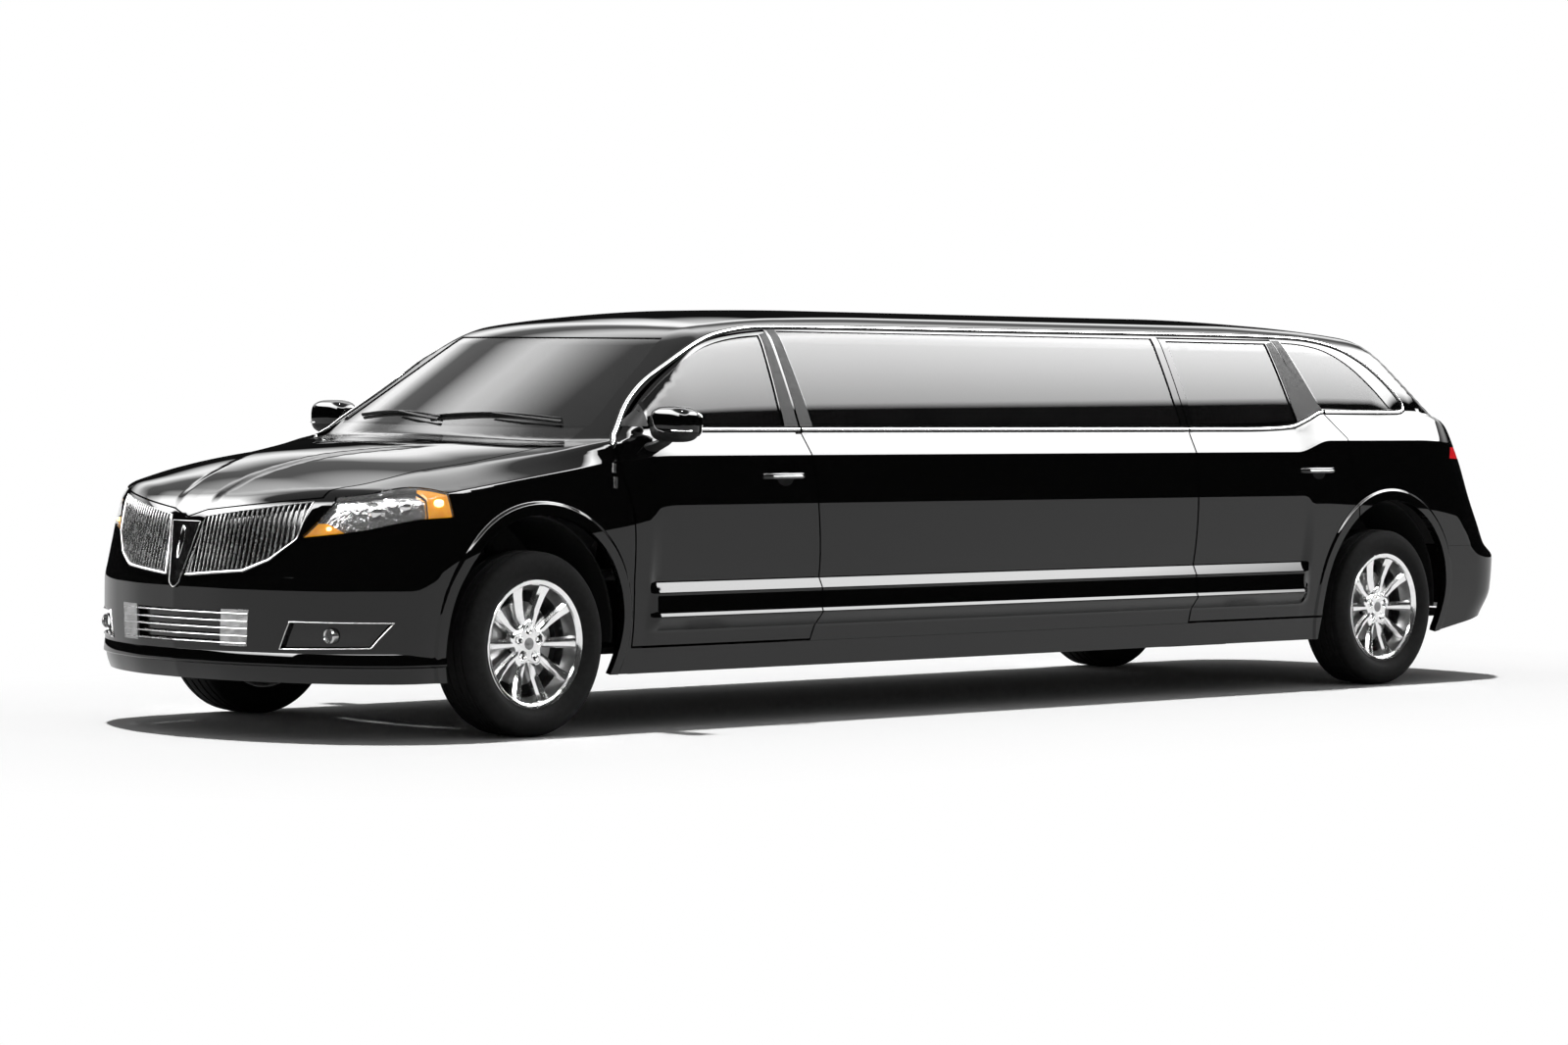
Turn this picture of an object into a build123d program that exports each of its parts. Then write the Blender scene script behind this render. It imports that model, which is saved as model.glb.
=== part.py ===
"""Stretch limousine, in millimetres.

+X points forward, +Y to the car's left and +Z up. The origin is on the ground, at the
middle of the length and of the width. Body stations are measured from the front axle or
from the rear axle, so a longer wheelbase lengthens only the straight middle of the car.

The body is one hollow shell: a lower body and a greenhouse, each a ruled loft of sections
along the car, trimmed at nose and tail by a loft of plan outlines. Panels, doors and lids
are cut out of that shell by prisms, with a gap round whatever opens.
"""

import math
import os

from build123d import *

os.makedirs("parts", exist_ok=True)

# ---- Driving dimensions ----------------------------------------------------------------
wheelbase = 5535.0
front_overhang = 1080.0
rear_overhang = 1200.0
half_width = 965.0
roof_height = 1730.0
belt_height = 1220.0  # top of the doors' steel, under the side glass
sill_height = 230.0
rocker_height = 440.0  # crease low on the doors
moulding_height = 600.0  # top of the bright ledge along the doors
side_wall = 80.0  # whole door, skin to trim
roof_wall = 45.0  # whole pillar, window frame or roof
hood_skin = 35.0
end_wall = 70.0  # bumper covers and tailgate, measured along the car
glass_inset = 6.0  # glass face below the body skin
glass_thickness = 5.0
window_gap = 0.3  # glass edge to its frame
door_gap = 12.0
hood_gap = 8.0
gate_gap = 8.0
head_relief = 9.0  # more room behind a door's upper rear corner, which swings furthest back

door_hinge_in = 27.0  # door hinge line inside half_width
door_hinge_back = 60.0  # and behind the middle of the front shut line, where that is furthest back
door_hinge_heights = (650.0, 880.0)
hinge_pin_radius = 5.0
hinge_barrel_radius = 7.0
hinge_skin_depth = 19.0  # pocket round the hinge, inside half_width
hinge_half, knuckle_half, pocket_half = 14.0, 34.0, 40.0  # half heights round each hinge
hinge_pocket_back = 14.0
hinge_leg_in, hinge_leg_width = 85.0, 10.0

tyre_radius = 370.5
tyre_width = 235.0
rim_radius = 259.0
bead_radius = 241.0
track = 1660.0
arch_radius = 475.0
arch_centre_height = 410.0
liner_thickness = 9.0
front_well_inner = 500.0  # half distance between the front wheel wells
rear_well_inner = 560.0
hub_bore_radius = 32.0
running_clearance = 0.05
seat_gap = 0.3  # between pieces that stand close to each other
lug_circle_radius = 57.15
lug_count = 5
spoke_count = 10
kingpin_tilt = 13.65  # degrees, tops leaning inboard
kingpin_offset = 89.0  # inboard of the wheel's middle, at hub height

floor_height = 310.0
floor_thickness = 25.0

# ---- Places worked out from them -------------------------------------------------------
overall_length = front_overhang + wheelbase + rear_overhang
front_axle_x = overall_length / 2 - front_overhang
rear_axle_x = front_axle_x - wheelbase
wheel_y = track / 2
reach = half_width + 85.0  # past the widest skin
floor_top = floor_height + floor_thickness
sill_top = floor_top


def front(x):
    """A station x in front of the front axle."""
    return front_axle_x + x


def rear(x):
    """A station x in front of the rear axle."""
    return rear_axle_x + x


def across(x):
    """The plane across the car at x: its own x runs to the left and its y up."""
    return Plane(origin=(x, 0, 0), x_dir=(0, 1, 0), z_dir=(1, 0, 0))


# ---- Sections of the lower body --------------------------------------------------------
# station, then how far inside half_width the waist, shoulder and top edge lie,
# then how far the shoulder, top edge and centre crown lie below belt_height
sill_in, rocker_in, moulding_in = 75.0, 28.0, 12.0
waist_share = 0.42  # height of the widest line between moulding and shoulder
lower_sections = (
    (front(front_overhang + 170), 40, 75, 285, 480, 450, 430),
    (front(front_overhang), 30, 70, 280, 415, 385, 365),
    (front(front_overhang - 150), 20, 65, 265, 340, 300, 265),
    (front(770), 10, 62, 250, 300, 250, 190),
    (front(470), 5, 55, 215, 250, 185, 108),
    (front(150), 2, 45, 180, 205, 140, 70),
    (front(-150), 0, 35, 112, 165, 95, 40),
    (front(-450), 0, 25, 50, 128, 40, 15),
    (front(-750), 0, 15, 60, 108, 0, -15),
    (rear(700), 0, 15, 60, 108, 0, -15),
    (rear(450), 0, 22, 80, 55, -75, -90),
    (rear(-250), 5, 30, 90, 55, -75, -90),
    (rear(-700), 15, 45, 115, 85, -20, -45),
    (rear(-900), 25, 60, 150, 130, 60, 30),
    (rear(-rear_overhang - 100), 40, 90, 200, 200, 150, 120),
)
# height, then how far the nose and the tail lie inside the overhangs
end_outlines = (
    (-200, 300, 400),
    (150, 80, 190),
    (300, 10, 110),
    (rocker_height, 0, 15),
    (moulding_height - 10, 0, 0),
    (moulding_height + 60, 15, 75),
    (740, 35, 120),
    (880, 70, 200),
    (1070, 155, 295),
    (belt_height + 20, 250, 405),
    (belt_height + 180, 340, 510),
)
nose_bow, nose_bow_y = 200.0, 690.0
tail_bow, tail_bow_y = 110.0, 720.0

# ---- Sections of the greenhouse --------------------------------------------------------
# station, then how far the roof's centre lies below roof_height, then how far the sides
# lie inside the widest part of the greenhouse
roof_sections = (
    (front(300), 290, 70),
    (front(-600), 175, 8),
    (front(-930), 95, 0),
    (front(-1250), 42, 0),
    (front(-1700), 10, 0),
    (front(-2300), 0, 0),
    (rear(900), 0, 0),
    (rear(350), 15, 0),
    (rear(0), 40, 0),
    (rear(-300), 82, 15),
    (rear(-600), 140, 40),
    (rear(-1000), 250, 90),
)
glass_base_in = 70.0  # side glass inside half_width, at the belt
tumblehome = 0.45  # how far the side glass leans in for each millimetre up
side_glass_bulge = 10.0
roof_edge_drop, roof_crease_drop, roof_crease_in = 85.0, 38.0, 75.0
windscreen_foot, windscreen_rake, windscreen_sag = -130.0, 1.66, 335.0
rear_glass_foot, rear_glass_rake, rear_glass_sag = -745.0, 1.135, 150.0
rake_height = belt_height - 70.0  # where both feet are measured
plan_half = 1000.0


def glass_y(z):
    """Half width of the greenhouse at height z."""
    return half_width - glass_base_in - (z - belt_height) * tumblehome


def windscreen_x(z):
    """The windscreen's middle at height z."""
    return front(windscreen_foot) - (z - rake_height) * windscreen_rake


def rear_glass_x(z):
    """The rear window's middle at height z."""
    return rear(rear_glass_foot) + (z - rake_height) * rear_glass_rake


def floor_half_width():
    """Half the floor's width: up to the inner faces of the sills, which lean outward."""
    lean = (sill_in - rocker_in) / (rocker_height - sill_height)
    return half_width - side_wall - sill_in + lean * (floor_height - sill_height) - seat_gap


def lower_body(wall=0.0, skin=0.0, bottom=sill_height, ends=0.0):
    """The lower body, drawn in by wall at its sides, skin on top and ends at nose and tail."""
    with BuildPart() as trim:
        for z, nose_in, tail_in in end_outlines:
            nose = front(front_overhang) - nose_in - ends
            tail = rear(-rear_overhang) + tail_in + ends
            with BuildSketch(Plane.XY.offset(z)):
                with BuildLine():
                    for side in (1, -1):
                        corner = (nose - nose_bow, side * nose_bow_y)
                        cheek = (nose - nose_bow - 190, side * (nose_bow_y + 178))
                        ThreePointArc(corner, cheek, (nose - 770, side * reach))
                        hip = (tail + 250, side * (tail_bow_y + 150))
                        heel = (tail + tail_bow, side * tail_bow_y)
                        ThreePointArc((tail + 600, side * reach), hip, heel)
                        Line((nose - 770, side * reach), (tail + 600, side * reach))
                    ThreePointArc((nose - nose_bow, -nose_bow_y), (nose, 0), (nose - nose_bow, nose_bow_y))
                    ThreePointArc((tail + tail_bow, tail_bow_y), (tail, 0), (tail + tail_bow, -tail_bow_y))
                make_face()
        loft(ruled=True)
    with BuildPart() as body:
        for x, waist_in, shoulder_in, edge_in, shoulder_drop, edge_drop, crown_drop in lower_sections:
            y = half_width - wall
            shoulder_z = belt_height - shoulder_drop - skin
            waist_z = moulding_height + waist_share * (shoulder_z - moulding_height)
            left = [
                (y - sill_in, bottom),
                (y - rocker_in, rocker_height),
                (y - moulding_in, moulding_height),
                (y - waist_in, waist_z),
                (y - shoulder_in, shoulder_z),
                (y - edge_in, belt_height - edge_drop - skin),
            ]
            right = [(-a, b) for a, b in left]
            with BuildSketch(across(x)):
                with BuildLine():
                    Polyline(right[0], left[0], left[1], left[2])
                    ThreePointArc(left[2], left[3], left[4])
                    Line(left[4], left[5])
                    ThreePointArc(left[5], (0, belt_height - crown_drop - skin), right[5])
                    Line(right[5], right[4])
                    ThreePointArc(right[4], right[3], right[2])
                    Polyline(right[2], right[1], right[0])
                make_face()
        loft(ruled=True)
        add(trim.part, mode=Mode.INTERSECT)
    return body.part


def greenhouse(wall=0.0, base=rake_height, ends=0.0):
    """The greenhouse, drawn in by wall at its sides and roof and ends at both screens."""
    with BuildPart() as trim:
        for z in (800.0, 1800.0):
            head = windscreen_x(z) - ends
            tail = rear_glass_x(z) + ends
            with BuildSketch(Plane.XY.offset(z)):
                with BuildLine():
                    brow = (head - windscreen_sag, plan_half)
                    back = (tail + rear_glass_sag, plan_half)
                    ThreePointArc((brow[0], -brow[1]), (head, 0), brow)
                    Line(brow, back)
                    ThreePointArc(back, (tail, 0), (back[0], -back[1]))
                    Line((back[0], -back[1]), (brow[0], -brow[1]))
                make_face()
        loft(ruled=True)
    with BuildPart() as cabin:
        for x, crown_drop, side_in in roof_sections:
            crown_z = roof_height - crown_drop - wall
            edge_z = crown_z - roof_edge_drop
            mid_z = (base + edge_z) / 2
            inset = wall + side_in
            left = [
                (glass_y(base) - inset, base),
                (glass_y(mid_z) + side_glass_bulge - inset, mid_z),
                (glass_y(edge_z) - inset, edge_z),
                (glass_y(edge_z) - roof_crease_in - inset, crown_z - roof_crease_drop),
            ]
            right = [(-a, b) for a, b in left]
            with BuildSketch(across(x)):
                with BuildLine():
                    Line(right[0], left[0])
                    ThreePointArc(left[0], left[1], left[2])
                    Line(left[2], left[3])
                    ThreePointArc(left[3], (0, crown_z), right[3])
                    Line(right[3], right[2])
                    ThreePointArc(right[2], right[1], right[0])
                make_face()
        loft(ruled=True)
        add(trim.part, mode=Mode.INTERSECT)
    return cabin.part


# ---- Prisms that cut the shell into panels ---------------------------------------------
def side_region(outline, grow=0.0):
    """A prism right across the car whose side view is the outline, grown all round."""
    with BuildPart() as region:
        with BuildSketch(Plane.XZ):
            with BuildLine():
                Polyline(*outline, close=True)
            make_face()
            if grow:
                offset(amount=grow, kind=Kind.INTERSECTION)
        extrude(amount=reach, both=True)
    return region.part


def end_region(outline, x_from, x_to, grow=0.0):
    """A prism along the car, from x_from to x_to, whose end view is the outline."""
    with BuildPart() as region:
        with BuildSketch(across(x_from)):
            with BuildLine():
                Polyline(*outline, close=True)
            make_face()
            if grow:
                offset(amount=grow, kind=Kind.INTERSECTION)
        extrude(amount=x_to - x_from)
    return region.part


def plan_region(outline, z_from, z_to, grow=0.0):
    """An upright prism whose plan is the outline."""
    with BuildPart() as region:
        with BuildSketch(Plane.XY.offset(z_from)):
            with BuildLine():
                Polyline(*outline, close=True)
            make_face()
            if grow:
                offset(amount=grow, kind=Kind.INTERSECTION)
        extrude(amount=z_to - z_from)
    return region.part


def both_sides(outline):
    """The outline, drawn for the left half, and its mirror image, as one closed outline."""
    return list(outline) + [(-y, z) for y, z in reversed(outline)]


def cut_panel(shell, region, *holes):
    """The piece of shell inside region, less the holes."""
    with BuildPart() as panel:
        add(shell)
        add(region, mode=Mode.INTERSECT)
        for hole in holes:
            add(hole, mode=Mode.SUBTRACT)
    return panel.part


def on_side(part, side):
    """The solids of part on one side of the car: 1 is the left and -1 the right."""
    with BuildPart() as half:
        for solid in part.solids():
            if solid.center().Y * side > 0:
                add(solid)
    return half.part


def write(part, name):
    """Labels a finished piece and writes it as its own STEP file."""
    part.label = name
    export_step(part, f"parts/{name}.step")


# ---- Outlines of what opens and of the glass, in side view ------------------------------
window_head = roof_height - 125.0  # top edge of the side glass
window_foot = belt_height + 16.0
door_head = window_head + 25.0
quarter_belt = belt_height + 77.0  # the belt line is higher over the rear wheel
door_foot = sill_top + 5.0
front_door_outline = (
    (front(-545), door_foot),
    (front(-520), 600),
    (front(-500), 900),
    (front(-440), belt_height - 105),
    (front(-452), belt_height - 45),
    (front(-620), belt_height + 70),
    (front(-860), belt_height + 215),
    (front(-1120), window_head - 50),
    (front(-1340), window_head - 8),
    (front(-1510), window_head + 8),
    (front(-1525), belt_height + 5),
    (front(-1551), belt_height - 108),
    (front(-1580), 885),
    (front(-1606), 450),
    (front(-1585), door_foot),
)
front_window_outline = (
    (front(-715), window_foot),
    (front(-715), belt_height + 90),
    (front(-880), belt_height + 190),
    (front(-1060), belt_height + 285),
    (front(-1240), window_head - 32),
    (front(-1370), window_head - 16),
    (front(-1455), window_head - 12),
    (front(-1420), window_foot),
)
rear_door_front = rear(1450)
rear_door_outline = (
    (rear_door_front, door_foot),
    (rear_door_front, door_head),
    (rear(637), door_head),
    (rear(568), belt_height + 270),
    (rear(500), belt_height + 165),
    (rear(468), belt_height + 128),
    (rear(359), belt_height + 8),
    (rear(312), belt_height - 42),
    (rear(278), 950),
    (rear(262), 865),
    (rear(258), 790),
    (rear(400), door_foot),
)
rear_window_outline = (
    (rear_door_front - 45, window_foot),
    (rear_door_front - 45, window_head),
    (rear(694), window_head),
    (rear(664), window_foot),
)
lounge_window_outline = (
    (front(-1600), window_foot),
    (front(-1585), window_head),
    (rear_door_front + 45, window_head),
    (rear_door_front + 45, window_foot),
)
quarter_window_outline = (
    (rear(519), window_head),
    (rear(419), quarter_belt + 20),
    (rear(-88), quarter_belt + 20),
    (rear(-15), quarter_belt + 115),
    (rear(99), quarter_belt + 200),
    (rear(258), window_head - 30),
)
lamp_outline = (
    (front(905), 795),
    (front(800), 955),
    (front(480), 985),
    (front(452), 975),
    (front(447), 880),
    (front(610), 866),
    (front(750), 830),
)
# ---- The same in front and rear view: distance from the middle, height ------------------
windscreen_outline = both_sides([(755, belt_height + 12), (615, roof_height - 135)])
grille_wing = ((105, 868), (575, 935), (545, 790), (450, 706), (350, 662), (60, 637))
prow_outline = both_sides([(85, 846), (28, 605), (6, 588)])
lower_grille_outline = both_sides([(385, 505), (375, 375)])
fog_recess = ((515, 363), (555, 470), (868, 470), (815, 372))
hood_lip = ((0, 862), (100, 893), (600, 950))
gate_foot = moulding_height + 60.0
gate_outline = both_sides([(640, gate_foot), (690, 1000), (700, belt_height), (615, roof_height - 130)])
gate_window_outline = both_sides([(600, belt_height + 70), (540, roof_height - 165)])
tail_lamp_outline = both_sides([(690, 1060), (690, 1130)])
hood_plan = (
    (front(1200), 600),
    (front(790), 600),
    (front(700), 655),
    (front(400), 700),
    (front(-230), 745),
    (front(-150), 560),
    (front(-80), 330),
    (front(-35), 0),
)

# ---- Wheel wells -----------------------------------------------------------------------
with BuildPart() as wheel_wells:
    for axle_x, inner in ((front_axle_x, front_well_inner), (rear_axle_x, rear_well_inner)):
        for side in (1, -1):
            with BuildSketch(Plane.XZ.offset(-side * inner)):
                with Locations((axle_x, arch_centre_height)):
                    Circle(arch_radius)
            extrude(amount=-side * (reach - inner))

# ---- The hollow shell ------------------------------------------------------------------
cavity_bottom = sill_height - 10.0
with BuildPart() as outer_skin:
    add(lower_body())
    add(greenhouse())
with BuildPart() as cavity:
    add(lower_body(side_wall, hood_skin, cavity_bottom, end_wall))
    add(greenhouse(roof_wall, rake_height, end_wall))
with BuildPart() as shell:
    add(outer_skin.part)
    add(cavity.part, mode=Mode.SUBTRACT)
    add(wheel_wells.part, mode=Mode.SUBTRACT)
with BuildPart() as glass_layer:
    add(greenhouse(glass_inset, rake_height, glass_inset))
    add(greenhouse(glass_inset + glass_thickness, rake_height - 50, glass_inset + glass_thickness), mode=Mode.SUBTRACT)

front_part = side_region(((front(-700), 0), (front(1300), 0), (front(1300), 1400), (front(-700), 1400)))
nose_shell = cut_panel(shell.part, front_part)
lamp_depth = 40.0
lamp_core = lower_body(lamp_depth, hood_skin, cavity_bottom, lamp_depth)
tail_part = side_region(((rear(600), 0), (rear(-1400), 0), (rear(-1400), 1800), (rear(600), 1800)))
tail_shell = cut_panel(shell.part, tail_part)

# ---- Regions of the openings, each with the gap round the piece that fills it ----------
half_door_gap = door_gap / 2
front_door_hole = side_region(front_door_outline, half_door_gap)
rear_door_hole = side_region(rear_door_outline, half_door_gap)
hood_half = hood_gap / 2


def hood_region(grow):
    """Where the hood is: inside its plan and above its lip."""
    with BuildPart() as region:
        add(plan_region(list(hood_plan) + [(x, -y) for x, y in reversed(hood_plan[:-1])], 700, 1400, grow))
        brow = [(y, z - grow) for y, z in hood_lip]
        above = brow + [(900, hood_lip[-1][1] - grow), (900, 1500), (0, 1500)]
        outline = [(-y, z) for y, z in reversed(above[1:-1])] + above
        add(end_region(outline, front(-400), front(1200)), mode=Mode.INTERSECT)
    return region.part


hood_hole = hood_region(hood_half)
lamp_hole = side_region(lamp_outline)
with BuildPart() as lamp_holes:
    add(lamp_hole)
    with Locations((front(700), 0, 900)):
        Box(800, 2 * 545, 400, mode=Mode.SUBTRACT)
grille_holes = [end_region([(s * y, z) for y, z in grille_wing], front(700), front(1200)) for s in (1, -1)]
prow_hole = end_region(prow_outline, front(700), front(1250))
lower_grille_hole = end_region(lower_grille_outline, front(700), front(1200))
fog_holes = [end_region([(s * y, z) for y, z in fog_recess], front(550), front(1200)) for s in (1, -1)]
gate_hole = end_region(gate_outline, rear(-1300), rear(-100), gate_gap / 2)
windscreen_hole = end_region(windscreen_outline, front(-1300), front(100))
lounge_hole = side_region(lounge_window_outline)
quarter_hole = side_region(quarter_window_outline)

# ---- Lower body panels -----------------------------------------------------------------
bumper_seam, arch_foot = front(455), 300.0
fascia_outline = (
    (front(430), 150),
    (front(430), arch_foot),
    (bumper_seam, arch_foot),
    (bumper_seam, 970),
    (front(480), 985),
    (front(800), 955),
    (front(800), 1250),
    (front(1250), 1250),
    (front(1250), 150),
)
fascia_region = side_region(fascia_outline)
front_bumper = cut_panel(
    nose_shell, fascia_region, hood_hole, lamp_holes.part, *grille_holes, prow_hole, lower_grille_hole, *fog_holes
)
write(front_bumper, "front_bumper")

fender_outline = (
    (front(900), 780),
    (front(900), 1300),
    (front(-600), 1300),
    (front(-600), sill_top),
    (front(-545), sill_top),
    (front(-545), 150),
    (front(0), 150),
    (front(0), arch_foot),
    (bumper_seam, arch_foot),
    (bumper_seam, 780),
)
cowl_hole = plan_region(
    ((front(-35), 0), (front(-80), 330), (front(-150), 560), (front(-230), 745), (front(-800), 745),
     (front(-800), -745), (front(-230), -745), (front(-150), -560), (front(-80), -330)), 1000, 1500,
)
above_belt = (
    (front(200), belt_height + 2),
    (rear(700), belt_height + 2),
    (rear(450), quarter_belt),
    (rear(-1300), quarter_belt),
    (rear(-1300), 1900),
    (front(200), 1900),
)
canopy_region = side_region(above_belt)
fenders = cut_panel(
    nose_shell, side_region(fender_outline), fascia_region, hood_hole, lamp_holes.part,
    cowl_hole, front_door_hole, canopy_region,
)
front_hinge_x = front(-506) - door_hinge_back
rear_hinge_x = rear_door_front - door_hinge_back
hinge_y = half_width - door_hinge_in


def hinge_arms(hinge_x, panel_x):
    """Fixed halves of a door pair's hinges: a goose neck from the panel behind each, with its ring."""
    with BuildPart() as arms:
        for side in (1, -1):
            for z in door_hinge_heights:
                leg_y = side * (half_width - hinge_leg_in - hinge_leg_width / 2)
                with Locations(((hinge_x - 6 + panel_x + 25) / 2, leg_y, z)):
                    Box(panel_x + 31 - hinge_x, hinge_leg_width, 2 * hinge_half)
                with Locations((panel_x + 14, side * (half_width - 84), z)):
                    Box(22, 22, 2 * hinge_half)
                with Locations((hinge_x, (leg_y + side * hinge_y) / 2, z)):
                    Box(12, hinge_y - abs(leg_y), 2 * hinge_half)
                with Locations((hinge_x, side * hinge_y, z)):
                    Cylinder(hinge_barrel_radius, 2 * hinge_half)
        for side in (1, -1):
            for z in door_hinge_heights:
                with Locations((hinge_x, side * hinge_y, z)):
                    Cylinder(hinge_pin_radius + running_clearance, 2 * hinge_half, mode=Mode.SUBTRACT)
    return arms.part


def hinge_pins(hinge_x):
    """Moving halves of the same hinges: a pin between two knuckles on a leaf."""
    with BuildPart() as pins:
        for side in (1, -1):
            for z in door_hinge_heights:
                with Locations((hinge_x, side * hinge_y, z)):
                    Cylinder(hinge_pin_radius, 2 * knuckle_half)
                for level in (-1, 1):
                    middle = z + level * (hinge_half + seat_gap + knuckle_half) / 2
                    height = knuckle_half - hinge_half - seat_gap
                    with Locations((hinge_x, side * hinge_y, middle)):
                        Cylinder(hinge_barrel_radius, height)
                    with Locations((hinge_x - hinge_pocket_back / 2 - 3, side * (hinge_y - 1), middle)):
                        Box(hinge_pocket_back + 6, 2 * hinge_barrel_radius - 2, height)
    return pins.part


def hinge_pockets(hinge_x):
    """Room for the hinges in the doors' front edges, inside the outer skin."""
    deep = 160.0
    y = half_width - hinge_skin_depth - deep / 2
    with BuildPart() as pockets:
        for side in (1, -1):
            for z in door_hinge_heights:
                with Locations((hinge_x - hinge_pocket_back + 60, side * y, z)):
                    Box(120, deep, 2 * pocket_half)
    return pockets.part


with BuildPart() as fenders_and_hinges:
    add(fenders)
    add(hinge_arms(front_hinge_x, front(-494)))
write(fenders_and_hinges.part, "front_fenders")

hood_hinge = (front(-260), 715.0, belt_height - 78)  # its pin, on the left
hood_arm_width, hood_ring_radius = 20.0, 10.0
hood_notch_width = hood_arm_width + 10
with BuildPart() as cowl:
    add(cut_panel(nose_shell, cowl_hole, hood_hole, canopy_region))
    for side in (1, -1):
        with Locations((hood_hinge[0] + 23, side * hood_hinge[1], hood_hinge[2])):
            Box(82, hood_notch_width, 150, mode=Mode.SUBTRACT)
        with Locations((hood_hinge[0], side * hood_hinge[1], hood_hinge[2])):
            Cylinder(hinge_pin_radius, hood_notch_width + 4, rotation=(90, 0, 0))
write(cowl.part, "cowl")

sill_outline = ((front(-545), 150), (rear(470), 150), (rear(470), sill_top), (front(-545), sill_top))
jack_pad_size, jack_pad_depth = (90.0, 40.0), 8.0
jack_stations = (front(-800), rear(700))
jack_y = half_width - sill_in - side_wall / 2
with BuildPart() as sills:
    add(cut_panel(shell.part, side_region(sill_outline)))
    with Locations(*[(x, s * jack_y, sill_height - jack_pad_depth / 2) for x in jack_stations for s in (1, -1)]):
        Box(*jack_pad_size, jack_pad_depth)
write(sills.part, "sills")

wall_outline = (
    (front(-1450), sill_top),
    (rear(1300), sill_top),
    (rear(1300), belt_height + 2),
    (front(-1450), belt_height + 2),
)
with BuildPart() as stretch_walls:
    add(cut_panel(shell.part, side_region(wall_outline), front_door_hole, rear_door_hole))
    add(hinge_arms(rear_hinge_x, rear_door_front + half_door_gap))
write(stretch_walls.part, "stretch_walls")

bumper_top = gate_foot - gate_gap / 2
rear_bumper_outline = (
    (rear(-450), 238),
    (rear(-800), 300),
    (rear(-rear_overhang - 50), 345),
    (rear(-rear_overhang - 50), bumper_top),
    (rear(-450), bumper_top),
)
rear_bumper = cut_panel(tail_shell, side_region(rear_bumper_outline), gate_hole)
write(rear_bumper, "rear_bumper")

quarter_outline = (
    (rear(480), sill_top),
    (rear(480), quarter_belt),
    (rear(-rear_overhang - 50), quarter_belt),
    (rear(-rear_overhang - 50), bumper_top),
    (rear(-450), bumper_top),
    (rear(-450), sill_top),
)
corner_lamp_outline = ((rear(-760), 1058), (rear(-760), 1132), (rear(-1100), 1132), (rear(-1100), 1058))
with BuildPart() as corner_lamp_hole:
    add(side_region(corner_lamp_outline))
    add(lamp_core, mode=Mode.SUBTRACT)
rear_quarters = cut_panel(
    tail_shell, side_region(quarter_outline), rear_door_hole, canopy_region, gate_hole,
    corner_lamp_hole.part,
)
write(rear_quarters, "rear_quarters")
corner_lamps = cut_panel(tail_shell, corner_lamp_hole.part, gate_hole)
write(corner_lamps, "corner_lamps")

# ---- Roof with its rails and pillars ---------------------------------------------------
canopy = cut_panel(
    shell.part, canopy_region, front_door_hole, rear_door_hole,
    windscreen_hole, lounge_hole, quarter_hole, gate_hole,
)
gate_hinge = (rear(-240), 250.0, roof_height - 124)  # its pin, on the left
gate_pin_radius, gate_knuckle_width = 4.0, 15.0


def gate_knuckles(offsets):
    """Knuckles of the tailgate's hinges, at these distances from the middle of each hinge."""
    with BuildPart() as knuckles:
        for side in (1, -1):
            for offset_y in offsets:
                with Locations((gate_hinge[0], side * gate_hinge[1] + offset_y, gate_hinge[2])):
                    Cylinder(hinge_barrel_radius, gate_knuckle_width, rotation=(90, 0, 0))
    return knuckles.part


knuckle_step = gate_knuckle_width + seat_gap
with BuildPart() as roof:
    add(canopy)
    add(gate_knuckles((-knuckle_step, knuckle_step)))
    for side in (1, -1):
        for step in (-knuckle_step, knuckle_step):
            with Locations((gate_hinge[0] + 20, side * gate_hinge[1] + step, gate_hinge[2] + 4)):
                Box(44, gate_knuckle_width, 12)
        with Locations((gate_hinge[0], side * gate_hinge[1], gate_hinge[2])):
            Cylinder(gate_pin_radius, 2 * knuckle_step, rotation=(90, 0, 0))
write(roof.part, "roof_and_pillars")

# ---- Doors -----------------------------------------------------------------------------
handle_size = (235.0, 26.0, 30.0)
handle_height = belt_height - 192.0
handle_stand = 18.0


def door(outline, window, handle_x, hinge_x):
    """Both doors of one pair: the shell inside the outline, its window cut, with a pull handle.

    Behind the upper rear corner, which leans in furthest and so swings back furthest as the
    door opens, the gap is wider.
    """
    middle = (outline[0][0] + outline[-1][0]) / 2
    high = belt_height + 150
    outline = [(x + head_relief, z) if z > high and x < middle else (x, z) for x, z in outline]
    with BuildPart() as pair:
        add(shell.part)
        add(side_region(outline, -half_door_gap), mode=Mode.INTERSECT)
        add(side_region(window), mode=Mode.SUBTRACT)
        for side in (1, -1):
            with Locations((handle_x, side * (half_width + handle_stand - handle_size[1] / 2), handle_height)):
                Box(*handle_size)
            posts = [(handle_x + dx, side * (half_width - 20), handle_height) for dx in (-95, 95)]
            with Locations(*posts):
                Box(30, 50, 22)
        add(hinge_pockets(hinge_x), mode=Mode.SUBTRACT)
        add(hinge_pins(hinge_x))
    return pair.part


front_doors = door(front_door_outline, front_window_outline, front(-1370), front_hinge_x)
rear_doors = door(rear_door_outline, rear_window_outline, rear(568), rear_hinge_x)
front_glass = cut_panel(glass_layer.part, side_region(front_window_outline, -window_gap))
rear_glass = cut_panel(glass_layer.part, side_region(rear_window_outline, -window_gap))

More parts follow.
